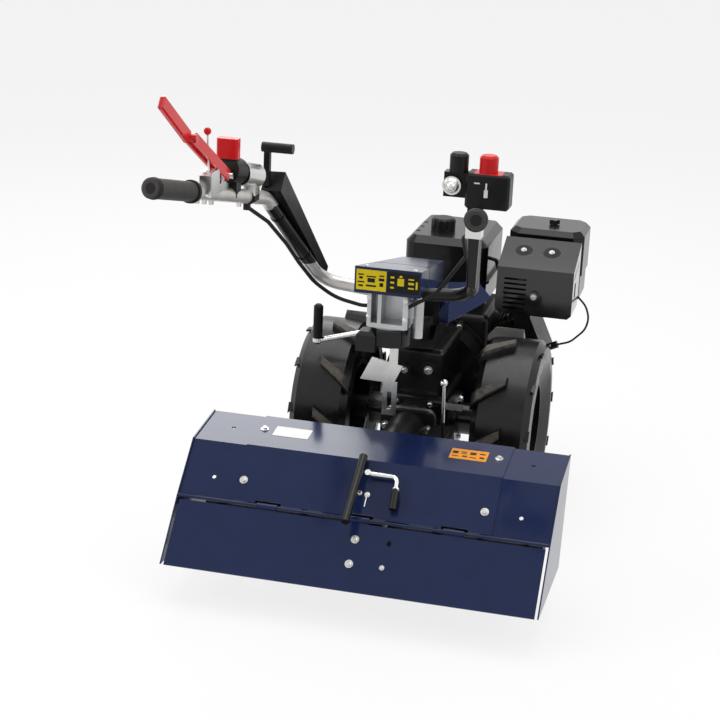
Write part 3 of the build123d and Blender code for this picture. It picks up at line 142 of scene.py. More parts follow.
# Bars on the signs: place on the sign, width and height
ORANGE_MARKS = [
    (-30, 6, 12, 12), (-12, 10, 12, 4), (-12, 3, 12, 3), (8, 7, 13, 11), (28, 9, 12, 5),
    (-28, -11, 14, 3), (-8, -9, 10, 6), (10, -11, 14, 3), (29, -8, 10, 7)]
LEFT_MARKS = [
    (-22, 11, 12, 3), (-22, 4, 8, 5), (-22, -5, 14, 3), (-22, -13, 10, 4), (0, 8, 20, 3),
    (0, 0, 16, 9), (0, -12, 22, 4), (22, 11, 10, 3), (22, 3, 12, 6), (22, -8, 8, 8)]
RIGHT_MARKS = [
    (-24, 11, 8, 4), (-24, 0, 8, 4), (-24, -11, 8, 4), (-6, 2, 14, 16), (-6, 14, 6, 4),
    (16, 10, 12, 3), (16, 1, 12, 5), (16, -9, 12, 3), (28, -2, 4, 16)]

# Boxes in which a node wears another finish, each between two corners
LINKAGE_ROD_ZONE = ((50, -300, 250), (150, -170, 300))
GEAR_GRIP_ZONE = ((-242, -170, 431), (-212, -130, 520))
DEPTH_CRANK_ZONE = ((-8, -580, 230), (80, -530, 300))
STOP_BUTTON_ZONE = ((-262, -812, 974), (-218, -788, 1014))
STOP_CLAMP_ZONE = ((-260, -764, 890), (-190, -698, 960))
SWITCH_KNOB_ZONE = ((240, -875, 1002), (290, -825, 1036))
KEY_BLOCK_ZONE = ((184, -863.5, 953), (225, -837, 1000.5))
RELEASE_HANGER_ZONE = ((200, -716, 842), (240, -684, 885))
LOCK_BALL_ZONE = ((-258, -915, 1034), (-238, -895, 1050))
LEAD_CLIP_ZONE = ((296, 261, 476), (313, 276, 494))
RIGHT_SLEEVE_ZONE = ((60, -700, 560), (320, -300, 872))
LEFT_SLEEVE_ZONE = ((-320, -640, 690), (-60, -430, 850))


def mm(value):
    return value / 1000


def at(x, y, z):
    """A place of the drawing in the row frame, in metres."""
    return Vector((x, y + AXLE_TO_MIDDLE, z)) / 1000


def mirrored(place):
    """The same place on the other side of the machine."""
    return Vector((-place[0], place[1], place[2]))


def circle(count, radius):
    """So many places round a circle, the first of them half a step up."""
    angles = [2 * pi * (index + 0.5) / count for index in range(count)]
    return [(radius * cos(angle), radius * sin(angle)) for angle in angles]


# Materials

NOISE_RANGE = (0.3, 0.7)
BLOTCH = 60.0
ROUGH_SPREAD = 0.12
COAT_ROUGH = 0.08
GRAIN_DEPTH = 0.4
RIB_STRENGTH, RIB_DEPTH = 0.9, 0.6

# Worn rubber: blotches in millimetres, and roughness where it is wet and where it is worn
TINT_BLOTCH, WEAR_BLOTCH, WET_BLOTCH, RUBBER_GRAIN = 45.0, 14.0, 30.0, 3.0
WET_ROUGH, WORN_ROUGH = (0.22, 0.36), 0.75
RUBBER_PALER, DUST_SHARE, RUBBER_SHINE, RUBBER_BUMP = 1.7, 0.85, 0.3, 0.12


class Look:
    """What a surface is like: colour, roughness, metal, clear coat, colour spread, grain and shine."""

    def __init__(self, colour, rough, metal=0.0, coat=0.0, spread=0.12, grain=0.15, grain_size=2.0,
                 shine=0.16):
        self.colour = colour
        self.rough = rough
        self.metal = metal
        self.coat = coat
        self.spread = spread
        self.grain = grain
        self.grain_size = grain_size
        self.shine = shine


class Nodes:
    """Short calls for building a material's node tree."""

    def __init__(self, name):
        self.material = bpy.data.materials.new(name)
        self.material.use_nodes = True
        self.tree = self.material.node_tree
        self.shader = self.tree.nodes["Principled BSDF"]
        coordinates = self.tree.nodes.new("ShaderNodeTexCoord")
        self.place = coordinates.outputs["Object"]

    def feed(self, socket, value):
        if isinstance(value, bpy.types.NodeSocket):
            self.tree.links.new(value, socket)
        else:
            socket.default_value = value

    def math(self, operation, first, second=0.0, clamp=False):
        node = self.tree.nodes.new("ShaderNodeMath")
        node.operation = operation
        node.use_clamp = clamp
        self.feed(node.inputs[0], first)
        self.feed(node.inputs[1], second)
        return node.outputs[0]

    def axis(self, name):
        node = self.tree.nodes.new("ShaderNodeSeparateXYZ")
        self.feed(node.inputs[0], self.place)
        return node.outputs[name]

    def along(self, direction):
        node = self.tree.nodes.new("ShaderNodeVectorMath")
        node.operation = "DOT_PRODUCT"
        self.feed(node.inputs[0], self.place)
        node.inputs[1].default_value = direction
        return node.outputs["Value"]

    def noise(self, size, detail=4.0):
        """Noise whose blotches are so many millimetres wide."""
        node = self.tree.nodes.new("ShaderNodeTexNoise")
        node.inputs["Scale"].default_value = 1000.0 / size
        node.inputs["Detail"].default_value = detail
        self.feed(node.inputs["Vector"], self.place)
        return node.outputs["Fac"]

    def spread(self, value, low, high):
        """The usual range of a noise, stretched from low to high."""
        node = self.tree.nodes.new("ShaderNodeMapRange")
        self.feed(node.inputs["Value"], value)
        node.inputs["From Min"].default_value = NOISE_RANGE[0]
        node.inputs["From Max"].default_value = NOISE_RANGE[1]
        node.inputs["To Min"].default_value = low
        node.inputs["To Max"].default_value = high
        return node.outputs["Result"]

    def mix_colour(self, share, first, second):
        node = self.tree.nodes.new("ShaderNodeMix")
        node.data_type = "RGBA"
        sockets = {socket.identifier: socket for socket in (*node.inputs, *node.outputs)}
        self.feed(sockets["Factor_Float"], share)
        self.feed(sockets["A_Color"], first)
        self.feed(sockets["B_Color"], second)
        return sockets["Result_Color"]

    def mix_value(self, share, first, second):
        """first where share is 0 and second where it is 1."""
        step = self.math("MULTIPLY", share, self.math("SUBTRACT", second, first))
        return self.math("ADD", step, first)

    def between(self, name, low, high):
        """1 where the place lies between two values of an axis, 0 elsewhere."""
        axis = self.axis(name)
        return self.math("MULTIPLY", self.math("GREATER_THAN", axis, low), self.math("LESS_THAN", axis, high))

    def box(self, low, high):
        """1 inside the box given by two corners of the drawing, 0 outside."""
        x, y, z = [self.between(name, a, b) for name, a, b in zip("XYZ", at(*low), at(*high))]
        return self.math("MULTIPLY", self.math("MULTIPLY", x, y), z)

    def bump(self, height, strength, depth=GRAIN_DEPTH):
        node = self.tree.nodes.new("ShaderNodeBump")
        node.inputs["Strength"].default_value = strength
        node.inputs["Distance"].default_value = mm(depth)
        self.feed(node.inputs["Height"], height)
        self.tree.links.new(node.outputs[0], self.shader.inputs["Normal"])


def colour(rgb):
    return (*rgb, 1.0)


def surface(name, look, zones=(), ribs=None):
    """A procedural material: one look all over, and others inside boxes of the drawing."""
    n = Nodes(name)
    blotch = n.noise(BLOTCH)
    low = colour([c * (1 - look.spread) for c in look.colour])
    high = colour([c * (1 + look.spread) for c in look.colour])
    base = n.mix_colour(n.spread(blotch, 0.0, 1.0), low, high)
    rough = n.spread(blotch, look.rough * (1 - ROUGH_SPREAD), look.rough * (1 + ROUGH_SPREAD))
    metal = look.metal
    for zone, other in zones:
        inside = n.box(*zone)
        base = n.mix_colour(inside, base, colour(other.colour))
        rough = n.mix_value(inside, rough, other.rough)
        metal = n.mix_value(inside, metal, other.metal)
    n.feed(n.shader.inputs["Base Color"], base)
    n.feed(n.shader.inputs["Roughness"], rough)
    n.feed(n.shader.inputs["Metallic"], metal)
    n.shader.inputs["Specular IOR Level"].default_value = look.shine
    n.shader.inputs["Coat Weight"].default_value = look.coat
    n.shader.inputs["Coat Roughness"].default_value = COAT_ROUGH
    if ribs is None:
        n.bump(n.noise(look.grain_size, 3.0), look.grain)
    else:
        direction, pitch = ribs
        wave = n.math("SINE", n.math("MULTIPLY", n.along(direction), 2 * pi * 1000 / pitch))
        n.bump(wave, RIB_STRENGTH, RIB_DEPTH)
    return n.material


def worn_tyre(name, dark, dust):
    """Rubber with a wet shine, whose lug tops are rubbed grey and dull."""
    n = Nodes(name)
    y = n.math("SUBTRACT", n.axis("Y"), mm(AXLE_TO_MIDDLE))
    z = n.math("SUBTRACT", n.axis("Z"), mm(AXLE_Z))
    radius = n.math("SQRT", n.math("ADD", n.math("MULTIPLY", y, y), n.math("MULTIPLY", z, z)))
    above = n.math("SUBTRACT", radius, mm(LUG_TOP_FROM))
    top = n.math("DIVIDE", above, mm(LUG_TOP_FADE), clamp=True)
    patch = n.spread(n.noise(WEAR_BLOTCH, 6.0), 0.1, 1.0)
    wear = n.math("MULTIPLY", top, patch, clamp=True)
    paler = [c * RUBBER_PALER for c in dark]
    base = n.mix_colour(n.spread(n.noise(TINT_BLOTCH), 0.0, 1.0), colour(dark), colour(paler))
    base = n.mix_colour(n.math("MULTIPLY", wear, DUST_SHARE), base, colour(dust))
    wet = n.spread(n.noise(WET_BLOTCH), *WET_ROUGH)
    n.feed(n.shader.inputs["Base Color"], base)
    n.feed(n.shader.inputs["Roughness"], n.mix_value(wear, wet, WORN_ROUGH))
    n.shader.inputs["Specular IOR Level"].default_value = RUBBER_SHINE
    n.bump(n.noise(RUBBER_GRAIN), RUBBER_BUMP)
    return n.material


NAVY = (0.0095, 0.0185, 0.07)
BLACK = (0.0045, 0.0045, 0.0047)
IRON = (0.0075, 0.0075, 0.0078)
RED = (0.62, 0.012, 0.014)
TYRE_DARK = (0.004, 0.004, 0.0042)
TYRE_DUST = (0.13, 0.115, 0.098)

BRIGHT = Look((0.66, 0.66, 0.65), 0.24, 1.0, grain=0.03)
BLACK_PLASTIC = Look(BLACK, 0.42, coat=0.1, grain=0.3, grain_size=1.2)
RED_PLASTIC = Look(RED, 0.28, coat=0.4, grain=0.02)
TUBE_LOOK = Look((0.56, 0.54, 0.52), 0.32, 0.5, coat=0.2, grain=0.12)
SLEEVE_LOOK = Look(BLACK, 0.35)
GRIP_LOOK = Look((0.062, 0.056, 0.055), 0.5)

# Paints and castings
blue_sheet = surface(
    "blue_sheet", Look(NAVY, 0.14, coat=0.12, spread=0.08, grain=0.03, grain_size=6.0))
red_paint = surface("red_paint", Look(RED, 0.3, coat=0.5, spread=0.06, grain=0.01))
black_satin = surface("black_satin", Look(BLACK, 0.3, coat=0.15, grain=0.12))
shield_black = surface("shield_black", Look(BLACK, 0.22, coat=0.8, grain=0.04, shine=0.25))
tank_black = surface("tank_black", Look(BLACK, 0.24, coat=0.2, grain=0.06, grain_size=5.0))
black_casting = surface("black_casting", Look(IRON, 0.38, coat=0.15, grain=0.6, grain_size=3.2))
engine_black = surface("engine_black", Look(IRON, 0.4, coat=0.1, grain=0.5, grain_size=2.6))
bracket = surface("bracket", Look(IRON, 0.34, coat=0.2, grain=0.45, grain_size=3.0))
gearcase = surface("gearcase", Look(IRON, 0.3, coat=0.3, spread=0.2, grain=0.6, grain_size=3.5))

# Bare metal
light_alloy = surface("light_alloy", Look((0.44, 0.45, 0.46), 0.4, 0.85, grain=0.45, grain_size=2.4))
machined = surface("machined", Look((0.56, 0.56, 0.55), 0.3, 0.95, grain=0.2))
steel = surface("steel", Look((0.5, 0.5, 0.5), 0.28, 1.0, grain=0.04))
zinc = surface("zinc", Look((0.6, 0.6, 0.58), 0.25, 1.0, spread=0.18, grain=0.04))
tine_steel = surface("tine_steel", Look((0.02, 0.02, 0.021), 0.5, 0.3, coat=0.1, grain=0.4))

# Plastic and rubber
black_plastic = surface("black_plastic", BLACK_PLASTIC)
rubber = surface("rubber", Look((0.012, 0.012, 0.0125), 0.55, grain=0.25))
tyre_rubber = worn_tyre("tyre_rubber", TYRE_DARK, TYRE_DUST)
grip_line = (at(*GRIP_END) - at(*GRIP_START)).normalized()
grip_right = surface("grip_rubber_right", GRIP_LOOK, ribs=(grip_line, GRIP_RIB_PITCH))
grip_left = surface("grip_rubber_left", GRIP_LOOK, ribs=(mirrored(grip_line), GRIP_RIB_PITCH))

# Nodes of more than one finish
sleeved_right = surface("sleeved_tube_right", TUBE_LOOK, [(RIGHT_SLEEVE_ZONE, SLEEVE_LOOK)])
sleeved_left = surface("sleeved_tube_left", TUBE_LOOK, [(LEFT_SLEEVE_ZONE, SLEEVE_LOOK)])
linkage = surface(
    "linkage", Look((0.55, 0.55, 0.54), 0.22, 1.0, spread=0.2, grain=0.05),
    [(LINKAGE_ROD_ZONE, Look(BLACK, 0.4))])
gear_lever = surface("gear_lever", BRIGHT, [(GEAR_GRIP_ZONE, Look(BLACK, 0.5))])
depth_lever = surface(
    "depth_lever", Look(BLACK, 0.38, coat=0.3, grain=0.15), [(DEPTH_CRANK_ZONE, BRIGHT)])
left_controls = surface(
    "left_controls", BLACK_PLASTIC, [(STOP_BUTTON_ZONE, RED_PLASTIC), (STOP_CLAMP_ZONE, BRIGHT)])
control_box = surface(
    "control_box", BLACK_PLASTIC,
    [(SWITCH_KNOB_ZONE, RED_PLASTIC), (KEY_BLOCK_ZONE, Look(IRON, 0.3, 0.6))])
release_lever = surface("release_lever", Look(BLACK, 0.35, coat=0.3), [(RELEASE_HANGER_ZONE, BRIGHT)])
lever_bracket = surface("lever_bracket", BRIGHT, [(LOCK_BALL_ZONE, RED_PLASTIC)])
plug_lead = surface("plug_lead", Look(BLACK, 0.35, coat=0.2), [(LEAD_CLIP_ZONE, BRIGHT)])


def sign_material(name, rgb):
    return surface(name, Look(rgb, 0.35, spread=0.04, grain=0.04))


white_sign = sign_material("sign_white", (0.82, 0.82, 0.8))
yellow_sign = sign_material("sign_yellow", (0.78, 0.6, 0.01))
orange_sign = sign_material("sign_orange", (0.8, 0.3, 0.015))
black_sign = sign_material("sign_black", (0.008, 0.008, 0.009))

finishes = {
    "tyre_left": tyre_rubber, "tyre_right": tyre_rubber, "rim_left": black_satin, "rim_right": black_satin,
    "hub_left": black_casting, "hub_right": black_casting, "gearbox_case": gearcase, "pto_flange": machined,
    "handlebar_bracket": bracket, "body_cover": blue_sheet, "shift_linkage": linkage,
    "gear_lever": gear_lever, "engine_block": engine_black, "cylinder": engine_black,
    "head_cover": engine_black, "exhaust_pipe": steel, "carburettor": light_alloy, "plug_lead": plug_lead,
    "recoil_starter": black_plastic, "fuel_tank": tank_black, "fuel_cap": black_plastic,
    "muffler_cover": shield_black, "air_filter": tank_black, "engine_frame": black_satin,
    "front_bumper": black_satin, "drive_case": black_casting, "skid": black_satin,
    "tiller_hood": blue_sheet, "hood_wing_left": blue_sheet, "hood_wing_right": blue_sheet,
    "side_plate_left": blue_sheet, "side_plate_right": blue_sheet, "rear_flap": blue_sheet,
    "hinge_pin": blue_sheet, "depth_lever": depth_lever, "rotor_shaft": steel, "tines_left": tine_steel,
    "tines_right": tine_steel, "column_housing": light_alloy, "console": blue_sheet,
    "handle_tube_left": sleeved_left, "handle_tube_right": sleeved_right, "grip_left": grip_left,
    "grip_right": grip_right, "control_box": control_box, "release_lever": release_lever,
    "lever_bracket": lever_bracket, "clutch_lever": red_paint, "left_controls": left_controls,
    "cables": rubber,
}

for node, finish in finishes.items():
    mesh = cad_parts[node].data
    if not mesh.materials:
        mesh.materials.append(finish)
    for index in range(len(mesh.materials)):
        mesh.materials[index] = finish


# Small pieces

# A bolt's washer, head and bevel in head sizes: from and to a height, both radii, and sides
BOLT_STEPS = [(0.0, 0.3, 1.75, 1.7, 24), (0.3, 1.05, 1.12, 1.12, 6), (1.05, 1.2, 1.12, 0.9, 6)]


class Batch:
    """Small shapes gathered into one piece that rides on one body."""

    def __init__(self, name, body, material):
        self.name = name
        self.body = body
        self.material = material
        self.mesh = bmesh.new()

    def turned(self, start, end, radius, end_radius=None, sides=20):
        """A bar or cone between two places of the drawing, with so many sides."""
        a, b = at(*start), at(*end)
        turn = (b - a).to_track_quat("Z", "Y").to_matrix().to_4x4()
        end_radius = radius if end_radius is None else end_radius
        bmesh.ops.create_cone(
            self.mesh, cap_ends=True, segments=sides, radius1=mm(radius), radius2=mm(end_radius),
            depth=(b - a).length, matrix=Matrix.Translation((a + b) / 2) @ turn)

    def plate(self, centre, size, out):
        """A thin box, its width across the machine and its thickness along out."""
        side = Vector((1, 0, 0))
        normal = Vector(out).normalized()
        turn = Matrix((side, normal.cross(side), normal)).transposed().to_4x4()
        scale = Matrix.Diagonal((mm(size[0]), mm(size[1]), mm(size[2]), 1.0))
        bmesh.ops.create_cube(self.mesh, size=1.0, matrix=Matrix.Translation(at(*centre)) @ turn @ scale)

    def ball(self, centre, radius):
        place = Matrix.Translation(at(*centre))
        bmesh.ops.create_uvsphere(self.mesh, u_segments=20, v_segments=12, radius=mm(radius), matrix=place)

    def bolt(self, seat, out, size):
        """A bevelled hexagon head on a washer; size is about half the head's width."""
        seat, out = Vector(seat), Vector(out).normalized()
        for low, high, wide, top, sides in BOLT_STEPS:
            self.turned(seat + out * size * low, seat + out * size * high, size * wide, size * top, sides)

    def finish(self):
        data = bpy.data.meshes.new(self.name)
        self.mesh.normal_update()
        self.mesh.to_mesh(data)
        self.mesh.free()
        piece = bpy.data.objects.new(self.name, data)
        bpy.context.scene.collection.objects.link(piece)
        data.materials.append(self.material)
        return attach(piece, self.body)


class Panel:
    """A flat panel of the hood, between its upper and its lower line in the side view."""

    def __init__(self, upper, lower):
        self.start = upper
        fall = Vector((0, lower[0] - upper[0], lower[1] - upper[1]))
        self.length = fall.length
        self.run = fall.normalized()
        self.out = Vector((0, self.run.z, -self.run.y))

    def spot(self, x, share, lift=0.0):
        """A place so far down the panel, as a share of its length, and so far off it."""
        return Vector((x, *self.start)) + self.run * self.length * share + self.out * lift

    def screw(self, batch, screws):
        for x, share, head in screws:
            batch.bolt(self.spot(x, share), self.out, head)


top_panel = Panel(HOOD_FRONT, HOOD_KNEE)
low_panel = Panel(HOOD_KNEE, FLAP_HINGE)
flap_panel = Panel(FLAP_HINGE, FLAP_TIP)


# Screws of the hood and its flap, and a thin pin that hangs from one beside the crank

def hood_bolts():
    bolts = Batch("hood_bolts", "tractor", zinc)
    top_panel.screw(bolts, TOP_SCREWS)
    low_panel.screw(bolts, LOW_SCREWS)
    pin_top = low_panel.spot(PIN_X, PIN_TOP, PIN_LIFT)
    pin_end = low_panel.spot(PIN_X, PIN_END, PIN_LIFT)
    bolts.turned(pin_top, pin_end, PIN_RADIUS)
    bolts.finish()


def flap_bolts():
    bolts = Batch("flap_bolts", "flap", zinc)
    flap_panel.screw(bolts, FLAP_SCREWS)
    bolts.finish()


# Signs, all without words: coloured plates with plain bars on them

def sign(name, body, material, centre, size, out, marks=(), mark_material=None):
    """A thin plate with small bars on it, each given by its place and size on the plate."""
    plate = Batch(name, body, material)
    plate.plate(centre, (*size, SIGN_THICK), out)
    plate.finish()
    if marks:
        normal = Vector(out).normalized()
        up = normal.cross(Vector((1, 0, 0)))
        bars = Batch(name + "_marks", body, mark_material)
        for x, y, wide, high in marks:
            place = Vector(centre) + Vector((x, 0, 0)) + up * y + normal * MARK_LIFT
            bars.plate(place, (wide, high, MARK_THICK), out)
        bars.finish()


def signs():
    white_place = top_panel.spot(WHITE_SIGN_X, WHITE_SIGN_SHARE, SIGN_LIFT)
    orange_place = top_panel.spot(ORANGE_SIGN_X, ORANGE_SIGN_SHARE, SIGN_LIFT)
    left_place = (LEFT_SIGN_X, CONSOLE_FACE_Y - SIGN_LIFT, CONSOLE_SIGN_Z)
    right_place = (RIGHT_SIGN_X, CONSOLE_FACE_Y - SIGN_LIFT, CONSOLE_SIGN_Z)
    sign("hood_sign_white", "tractor", white_sign, white_place, WHITE_SIGN_SIZE, top_panel.out)
    sign("hood_sign_orange", "tractor", orange_sign, orange_place, ORANGE_SIGN_SIZE, top_panel.out,
         ORANGE_MARKS, black_sign)
    sign("console_sign_left", "handlebar", yellow_sign, left_place, LEFT_SIGN_SIZE, BACKWARD,
         LEFT_MARKS, black_sign)
    sign("console_sign_right", "handlebar", black_sign, right_place, RIGHT_SIGN_SIZE, BACKWARD,
         RIGHT_MARKS, yellow_sign)


# Screws of the clutch bell, the coupling, the case, its axle tubes and the bracket

def case_bolts():
    bolts = Batch("case_bolts", "tractor", steel)
    for x, z in circle(BELL_BOLTS, BELL_BOLT_RADIUS):
        bolts.bolt((x, BELL_BOLT_FACE_Y, CRANK_Z + z), BACKWARD, BELL_HEAD)
    for side in (-1, 1):
        bolts.bolt((side * COUPLING_BOLT_X, COUPLING_FACE_Y, COUPLING_Z), BACKWARD, COUPLING_HEAD)
        for z in CASE_BACK_BOLT_HEIGHTS:
            bolts.bolt((side * CASE_BACK_BOLT_X, CASE_BACK_BOLT_Y, z), BACKWARD, CASE_HEAD)
        for z in (AXLE_Z - AXLE_TUBE_BOLT_RISE, AXLE_Z + AXLE_TUBE_BOLT_RISE):
            bolts.bolt((side * AXLE_TUBE_BOLT_X, 0, z), (side, 0, 0), CASE_HEAD)
    for place, head in BRACKET_BOLTS:
        bolts.bolt(place, BACKWARD, head)
    bolts.finish()


# Muffler's shield: two dark pressed dimples with a bolt in each, and a bolt on its back

def shield_trim():
    bolts = Batch("shield_bolts", "tractor", steel)
    dimples = Batch("shield_dimples", "tractor", rubber)
    out = Vector(SHIELD_OUT).normalized()
    for place in DIMPLE_PLACES:
        foot = Vector(place)
        top = foot + out * DIMPLE_HEIGHT
        dimples.turned(foot, top, DIMPLE_RADIUS, DIMPLE_RADIUS - DIMPLE_SLOPE, sides=36)
        bolts.bolt(top, out, DIMPLE_HEAD)
    bolts.bolt(SHIELD_BACK_BOLT, BACKWARD, SHIELD_HEAD)
    bolts.finish()
    dimples.finish()


# Wheels: screws of each hub and the tyre's valve

def wheel_trim(side, body):
    face = side * (TREAD_X + RIM_FACE_X)
    bolts = Batch("wheel_bolts_" + body, body, zinc)
    for y, z in circle(WHEEL_BOLTS, WHEEL_BOLT_RADIUS):
        bolts.bolt((face, y, AXLE_Z + z), (side, 0, 0), WHEEL_HEAD)
    bolts.finish()
    valve = Batch("tyre_valve_" + body, body, rubber)
    valve_z = AXLE_Z + VALVE_FROM_AXLE
    foot = (face - side * VALVE_SINK, 0, valve_z)
    valve.turned(foot, (face + side * VALVE_REACH, 0, valve_z + VALVE_RISE), VALVE_FOOT, VALVE_TOP)
    valve.finish()


# Handlebar: rings of the grips, ties and clamp of the left tube, screws below it

def grip_end_rings():
    rings = Batch("grip_end_rings", "handlebar", rubber)
    for tip, root in ((mirrored(GRIP_END), mirrored(GRIP_START)), (Vector(GRIP_END), Vector(GRIP_START))):
        line = (tip - root).normalized()
        for place, ring in ((root, GRIP_COLLAR), (tip, TIP_RING), (tip, TIP_PLUG)):
            start, end, radius, end_radius, sides = ring
            rings.turned(place + line * start, place + line * end, radius, end_radius, sides)
    rings.finish()


def cable_ties():
    ties = Batch("cable_ties", "handlebar", black_plastic)
    start, bend, foot = mirrored(GRIP_START), mirrored(TUBE_BEND), mirrored(TUBE_FOOT)
    fall = (foot - bend).normalized()
    for share in TIE_SHARES:
        centre = bend.lerp(foot, share)
        ties.turned(centre - fall * TIE_HALF, centre + fall * TIE_HALF, TUBE_RADIUS + TIE_THICK, sides=32)
    rise = (start - bend).normalized() * CLAMP_HALF
    clamp = Vector(CLAMP_PLACE)
    ties.turned(clamp - rise, clamp + rise, TUBE_RADIUS + CLAMP_THICK, sides=32)
    ties.plate(CLAMP_BLOCK_PLACE, CLAMP_BLOCK_SIZE, (0, 0, 1))
    ties.finish()


def tube_bolts():
    bolts = Batch("tube_bolts", "handlebar", zinc)
    up = Vector((0, 0, 1))
    for share in TUBE_BOLT_SHARES:
        under = mirrored(GRIP_START).lerp(mirrored(TUBE_BEND), share) - up * TUBE_RADIUS
        top, end = under + up * TUBE_BOLT_SINK, under - up * TUBE_BOLT_DROP
        bolts.turned(top, end, TUBE_BOLT_RADIUS, TUBE_BOLT_END, 6)
    bolts.finish()


# Round silver key switch on its block beside the switch box, and the box's small marks

def key_switch():
    switch = Batch("key_switch", "handlebar", zinc)
    for start_y, end_y, radius, end_radius in KEY_STEPS:
        switch.turned((KEY_X, start_y, KEY_Z), (KEY_X, end_y, KEY_Z), radius, end_radius, 32)
    switch.ball((KEY_X, KEY_BALL_Y, KEY_Z), KEY_BALL_RADIUS)
    switch.finish()


def switch_marks():
    marks = Batch("switch_marks", "handlebar", white_sign)
    for x, z, wide, high in BOX_MARKS:
        marks.plate((x, BOX_FACE_Y, z), (wide, high, SIGN_THICK), BACKWARD)
    marks.finish()


# Column and console: bolts at the column's back, the post beside it and two screws on the console

def column_bolts():
    bolts = Batch("column_bolts", "handlebar", zinc)
    for x in (-COLUMN_BOLT_X, COLUMN_BOLT_X):
        for z in COLUMN_BOLT_HEIGHTS:
            bolts.bolt((x, COLUMN_BACK_Y, z), BACKWARD, COLUMN_HEAD)
    x, y, z = POST_PLACE
    bolts.turned(POST_PLACE, (x, y, z + POST_HEIGHT), POST_RADIUS, POST_END)
    bolts.finish()


def console_screws():
    screws = Batch("console_screws", "handlebar", steel)
    for x in (-CONSOLE_SCREW_X, CONSOLE_SCREW_X):
        foot = (x, CONSOLE_SCREW_Y, CONSOLE_TOP_Z)
        top = (x, CONSOLE_SCREW_Y, CONSOLE_TOP_Z + CONSOLE_SCREW_HEIGHT)
        screws.turned(foot, top, CONSOLE_SCREW_RADIUS, CONSOLE_SCREW_END)
    screws.finish()


# Fuel hose between the tank and the engine's top

def fuel_hose():
    hose = Batch("fuel_hose", "tractor", rubber)
    for first, second in zip(HOSE_LINE, HOSE_LINE[1:]):
        hose.turned(first, second, HOSE_RADIUS)
        hose.ball(second, HOSE_RADIUS)
    hose.finish()


hood_bolts()
flap_bolts()
signs()
case_bolts()
shield_trim()
wheel_trim(1, "wheel_right")
wheel_trim(-1, "wheel_left")
grip_end_rings()
cable_ties()
tube_bolts()
column_bolts()
console_screws()
key_switch()
switch_marks()
fuel_hose()


# Studio, whose lamps and floor are given in metres from the middle of the machine

LAMP_TARGET = (0.0, 0.0, 0.5)
ROOM_FROM, ROOM_TO = -0.5, 0.9
ROOM_DIM, ROOM_BRIGHT = 0.12, 0.85
HALF_FLOOR = 45.0
FLOOR_DROP = 0.0005
FLOOR_GLOW = 0.82
FLOOR_BLOTCH = 900.0
FLOOR_TINTS = ((0.84, 0.84, 0.84), (0.86, 0.86, 0.86))
FLOOR_ROUGH = 0.9


def camera_matrix():
    """The camera's place and turn from its yaw, pitch and roll."""
    level = cos(CAMERA_PITCH)
    forward = Vector((-sin(CAMERA_YAW) * level, cos(CAMERA_YAW) * level, -sin(CAMERA_PITCH)))
    right = Vector((cos(CAMERA_YAW), sin(CAMERA_YAW), 0))
    up = right.cross(forward)
    turned_right = right * cos(CAMERA_ROLL) + up * sin(CAMERA_ROLL)
    turned_up = up * cos(CAMERA_ROLL) - right * sin(CAMERA_ROLL)
    turn = Matrix((turned_right, turned_up, -forward)).transposed().to_4x4()
    return Matrix.Translation(at(*CAMERA_PLACE)) @ turn


def add_camera():
    data = bpy.data.cameras.new("camera")
    data.lens = CAMERA_LENS
    data.clip_end = 100.0
    camera = bpy.data.objects.new("camera", data)
    bpy.context.scene.collection.objects.link(camera)
    camera.matrix_world = camera_matrix()
    bpy.context.scene.camera = camera


def soft_lamp(name, place, size, power):
    """An area lamp, turned to the machine."""
    data = bpy.data.lights.new(name, "AREA")
    data.shape = "RECTANGLE"
    data.size, data.size_y = size
    data.energy = power
    lamp = bpy.data.objects.new(name, data)
    bpy.context.scene.collection.objects.link(lamp)
    lamp.location = place
    lamp.rotation_mode = "QUATERNION"
    lamp.rotation_quaternion = (Vector(LAMP_TARGET) - Vector(place)).to_track_quat("-Z", "Y")


def seen_share(tree):
    """1 for what is seen straight, in a mirror or through glass, 0 for light on other surfaces."""
    rays = tree.nodes.new("ShaderNodeLightPath").outputs
    share = rays["Is Camera Ray"]
    for ray in ("Is Glossy Ray", "Is Transmission Ray"):
        either = tree.nodes.new("ShaderNodeMath")
        either.operation = "MAXIMUM"
        tree.links.new(share, either.inputs[0])
        tree.links.new(rays[ray], either.inputs[1])
        share = either.outputs[0]
    return share


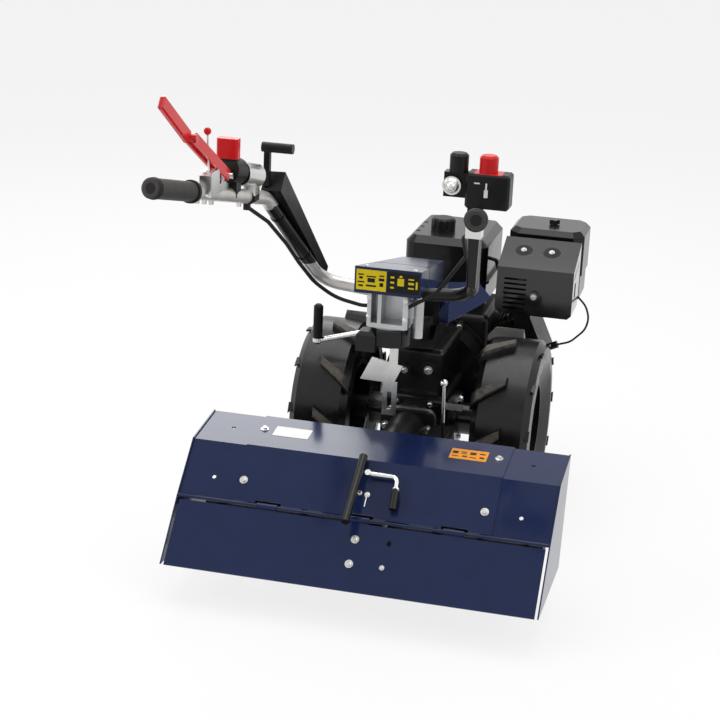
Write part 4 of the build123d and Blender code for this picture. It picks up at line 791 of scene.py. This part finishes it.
def add_world():
    """A room that looks white, and that lights the machine less from the camera's side."""
    world = bpy.data.worlds.new("studio")
    bpy.context.scene.world = world
    world.use_nodes = True
    sky = world.node_tree
    direction = sky.nodes.new("ShaderNodeTexCoord")
    split = sky.nodes.new("ShaderNodeSeparateXYZ")
    room = sky.nodes.new("ShaderNodeMapRange")
    room.interpolation_type = "SMOOTHSTEP"
    room.inputs["From Min"].default_value = ROOM_FROM
    room.inputs["From Max"].default_value = ROOM_TO
    room.inputs["To Min"].default_value = ROOM_DIM
    room.inputs["To Max"].default_value = ROOM_BRIGHT
    level = sky.nodes.new("ShaderNodeMapRange")
    level.inputs["To Max"].default_value = 1.0
    backdrop = sky.nodes["Background"]
    backdrop.inputs["Color"].default_value = (1.0, 1.0, 1.0, 1.0)
    sky.links.new(direction.outputs["Generated"], split.inputs[0])
    sky.links.new(split.outputs["Y"], room.inputs["Value"])
    sky.links.new(seen_share(sky), level.inputs["Value"])
    sky.links.new(room.outputs["Result"], level.inputs["To Min"])
    sky.links.new(level.outputs["Result"], backdrop.inputs["Strength"])


def pale_floor():
    """Matt and almost white to the eye, so that it keeps the machine's shadow."""
    pale = Nodes("floor")
    tint = pale.mix_colour(pale.noise(FLOOR_BLOTCH), *[colour(shade) for shade in FLOOR_TINTS])
    pale.feed(pale.shader.inputs["Base Color"], tint)
    pale.shader.inputs["Roughness"].default_value = FLOOR_ROUGH
    glow = pale.tree.nodes.new("ShaderNodeEmission")
    blend = pale.tree.nodes.new("ShaderNodeMixShader")
    output = pale.tree.nodes["Material Output"]
    pale.feed(blend.inputs[0], pale.math("MULTIPLY", seen_share(pale.tree), FLOOR_GLOW))
    pale.tree.links.new(pale.shader.outputs[0], blend.inputs[1])
    pale.tree.links.new(glow.outputs[0], blend.inputs[2])
    pale.tree.links.new(blend.outputs[0], output.inputs["Surface"])
    return pale.material


def add_floor():
    data = bpy.data.meshes.new("floor")
    corners = [(-HALF_FLOOR, -HALF_FLOOR, 0), (HALF_FLOOR, -HALF_FLOOR, 0), (HALF_FLOOR, HALF_FLOOR, 0),
               (-HALF_FLOOR, HALF_FLOOR, 0)]
    data.from_pydata(corners, [], [(0, 1, 2, 3)])
    data.materials.append(pale_floor())
    floor = bpy.data.objects.new("floor", data)
    floor.location.z = -FLOOR_DROP
    bpy.context.scene.collection.objects.link(floor)


add_camera()
soft_lamp("key_lamp", place=(-3.4, -2.0, 2.2), size=(2.4, 2.4), power=70.0)
soft_lamp("fill_lamp", place=(3.0, -1.4, 2.4), size=(2.6, 2.6), power=38.0)
soft_lamp("top_lamp", place=(0.0, 0.4, 3.6), size=(3.0, 3.0), power=80.0)
soft_lamp("front_lamp", place=(-1.6, 3.0, 2.5), size=(1.4, 1.2), power=26.0)
add_world()
add_floor()
bpy.context.scene.view_settings.view_transform = "Standard"
